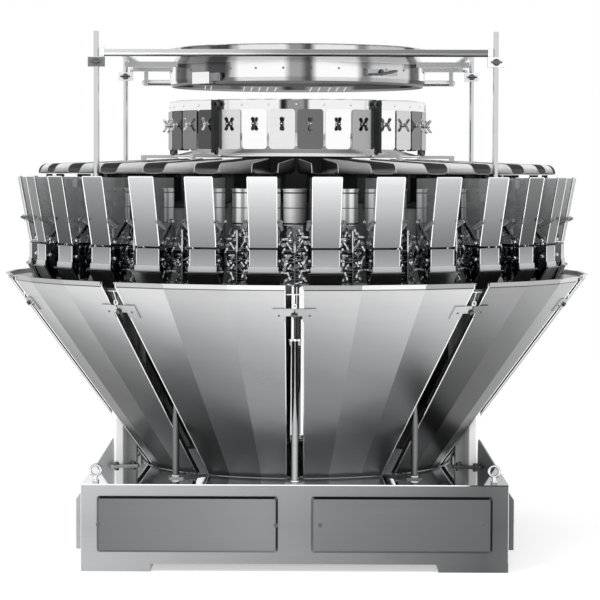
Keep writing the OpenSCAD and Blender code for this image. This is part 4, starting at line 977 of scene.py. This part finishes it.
def background_rays(tree):
    """1 for the rays that show the background: from the camera, from gloss and through glass."""
    path = add(tree, "LightPath").outputs
    gloss = add(tree, "Math MAXIMUM", path["Is Glossy Ray"], path["Is Transmission Ray"])
    return add(tree, "Math MAXIMUM", path["Is Camera Ray"], gloss)


def stage_floor():
    """A pale floor that shows white to the camera and keeps the machine's shadow."""
    mesh = bpy.data.meshes.new("studio_floor")
    corners = [(x * FLOOR_HALF, y * FLOOR_HALF, 0) for x, y in ((-1, -1), (1, -1), (1, 1), (-1, 1))]
    mesh.from_pydata(corners, [], [(0, 1, 2, 3)])
    floor = shown("studio_floor", mesh)
    material, tree, shader = new_material("pale_floor")
    place = add(tree, "TexCoord").outputs["Object"]
    speckle = add(tree, "TexNoise", Vector=place, Scale=40.0, Detail=3.0)
    shade = add(tree, "Math MULTIPLY_ADD", speckle, 0.02, FLOOR_TONE)
    glow = add(tree, "Math MULTIPLY", background_rays(tree), FLOOR_GLOW)
    fill(tree, shader, Base_Color=shade, Roughness=0.7, Emission_Color=linear("#ff"),
         Emission_Strength=glow)
    mesh.materials.append(material)


def stage_light():
    """A white room seen by the camera and by gloss, at a plain level for everything else."""
    world = bpy.data.worlds.new("studio")
    bpy.context.scene.world = world
    world.use_nodes = True
    tree = world.node_tree
    tree.nodes.clear()
    plain = add(tree, "Background", Color=linear("#ff"), Strength=ROOM_LIGHT)
    white = add(tree, "Background", Color=linear("#ff"), Strength=ROOM_WHITE)
    add(tree, "OutputWorld", add(tree, "MixShader", background_rays(tree), plain, white))
    for name, size, energy, at, aim in SOFTBOXES:
        lamp = bpy.data.lights.new(name, "AREA")
        lamp.size, lamp.energy = size, energy
        held = shown(name, lamp)
        held.location = at
        held.rotation_mode = "QUATERNION"
        held.rotation_quaternion = (Vector(aim) - Vector(at)).to_track_quat("-Z", "Y")
        held.visible_glossy = False
    bpy.context.scene.view_settings.view_transform = "Standard"


def stage_camera():
    """The camera: its place, then pan about z, pitch about its own x and roll about its own z."""
    s = bpy.context.scene.weigher_stage
    data = bpy.data.cameras.new("camera")
    data.sensor_width = SENSOR_MM
    data.sensor_fit = "HORIZONTAL"
    data.lens = s.focal_px * SENSOR_MM / FRAME_PX
    data.clip_end = 60.0
    camera = shown("camera", data)
    turn_z = Matrix.Rotation(s.pan, 4, "Z")
    tilt = Matrix.Rotation(math.pi / 2 - s.pitch, 4, "X")
    roll = Matrix.Rotation(s.roll, 4, "Z")
    camera.matrix_world = Matrix.Translation((s.side, -s.distance, s.height)) @ turn_z @ tilt @ roll
    bpy.context.scene.camera = camera


class WEIGHER_PT_panel(bpy.types.Panel):
    """Lists the steps of the dressing"""
    bl_label = "Weigher"
    bl_idname = "WEIGHER_PT_panel"
    bl_space_type = "VIEW_3D"
    bl_region_type = "UI"
    bl_category = "Weigher"

    def draw(self, context):
        for operator in OPERATORS:
            self.layout.operator(operator.bl_idname)


GROUPS = {"weigher_sizes": WeigherSizes, "weigher_finishes": WeigherFinishes, "weigher_stage": WeigherStage}
OPERATORS = [
    WEIGHER_OT_finish, WEIGHER_OT_hopper_edges, WEIGHER_OT_hopper_linkage, WEIGHER_OT_latch_sets,
    WEIGHER_OT_drive_trim, WEIGHER_OT_pan_edges, WEIGHER_OT_gate_trim, WEIGHER_OT_chute_edges,
    WEIGHER_OT_rod_nuts, WEIGHER_OT_base_trim, WEIGHER_OT_drum_trim, WEIGHER_OT_frame_trim, WEIGHER_OT_stage,
]


def register():
    """Registers the settings, the operators and the panel."""
    for group in GROUPS.values():
        bpy.utils.register_class(group)
    for name, group in GROUPS.items():
        setattr(bpy.types.Scene, name, bpy.props.PointerProperty(type=group))
    for cls in [*OPERATORS, WEIGHER_PT_panel]:
        bpy.utils.register_class(cls)


def unregister():
    """Takes everything out again, in the opposite order."""
    for cls in [WEIGHER_PT_panel, *reversed(OPERATORS)]:
        bpy.utils.unregister_class(cls)
    for name in GROUPS:
        delattr(bpy.types.Scene, name)
    for group in reversed(list(GROUPS.values())):
        bpy.utils.unregister_class(group)


def main():
    """Registers the add-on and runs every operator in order."""
    register()
    for operator in OPERATORS:
        area, name = operator.bl_idname.split(".")
        getattr(getattr(bpy.ops, area), name)()


if __name__ == "__main__":
    main()
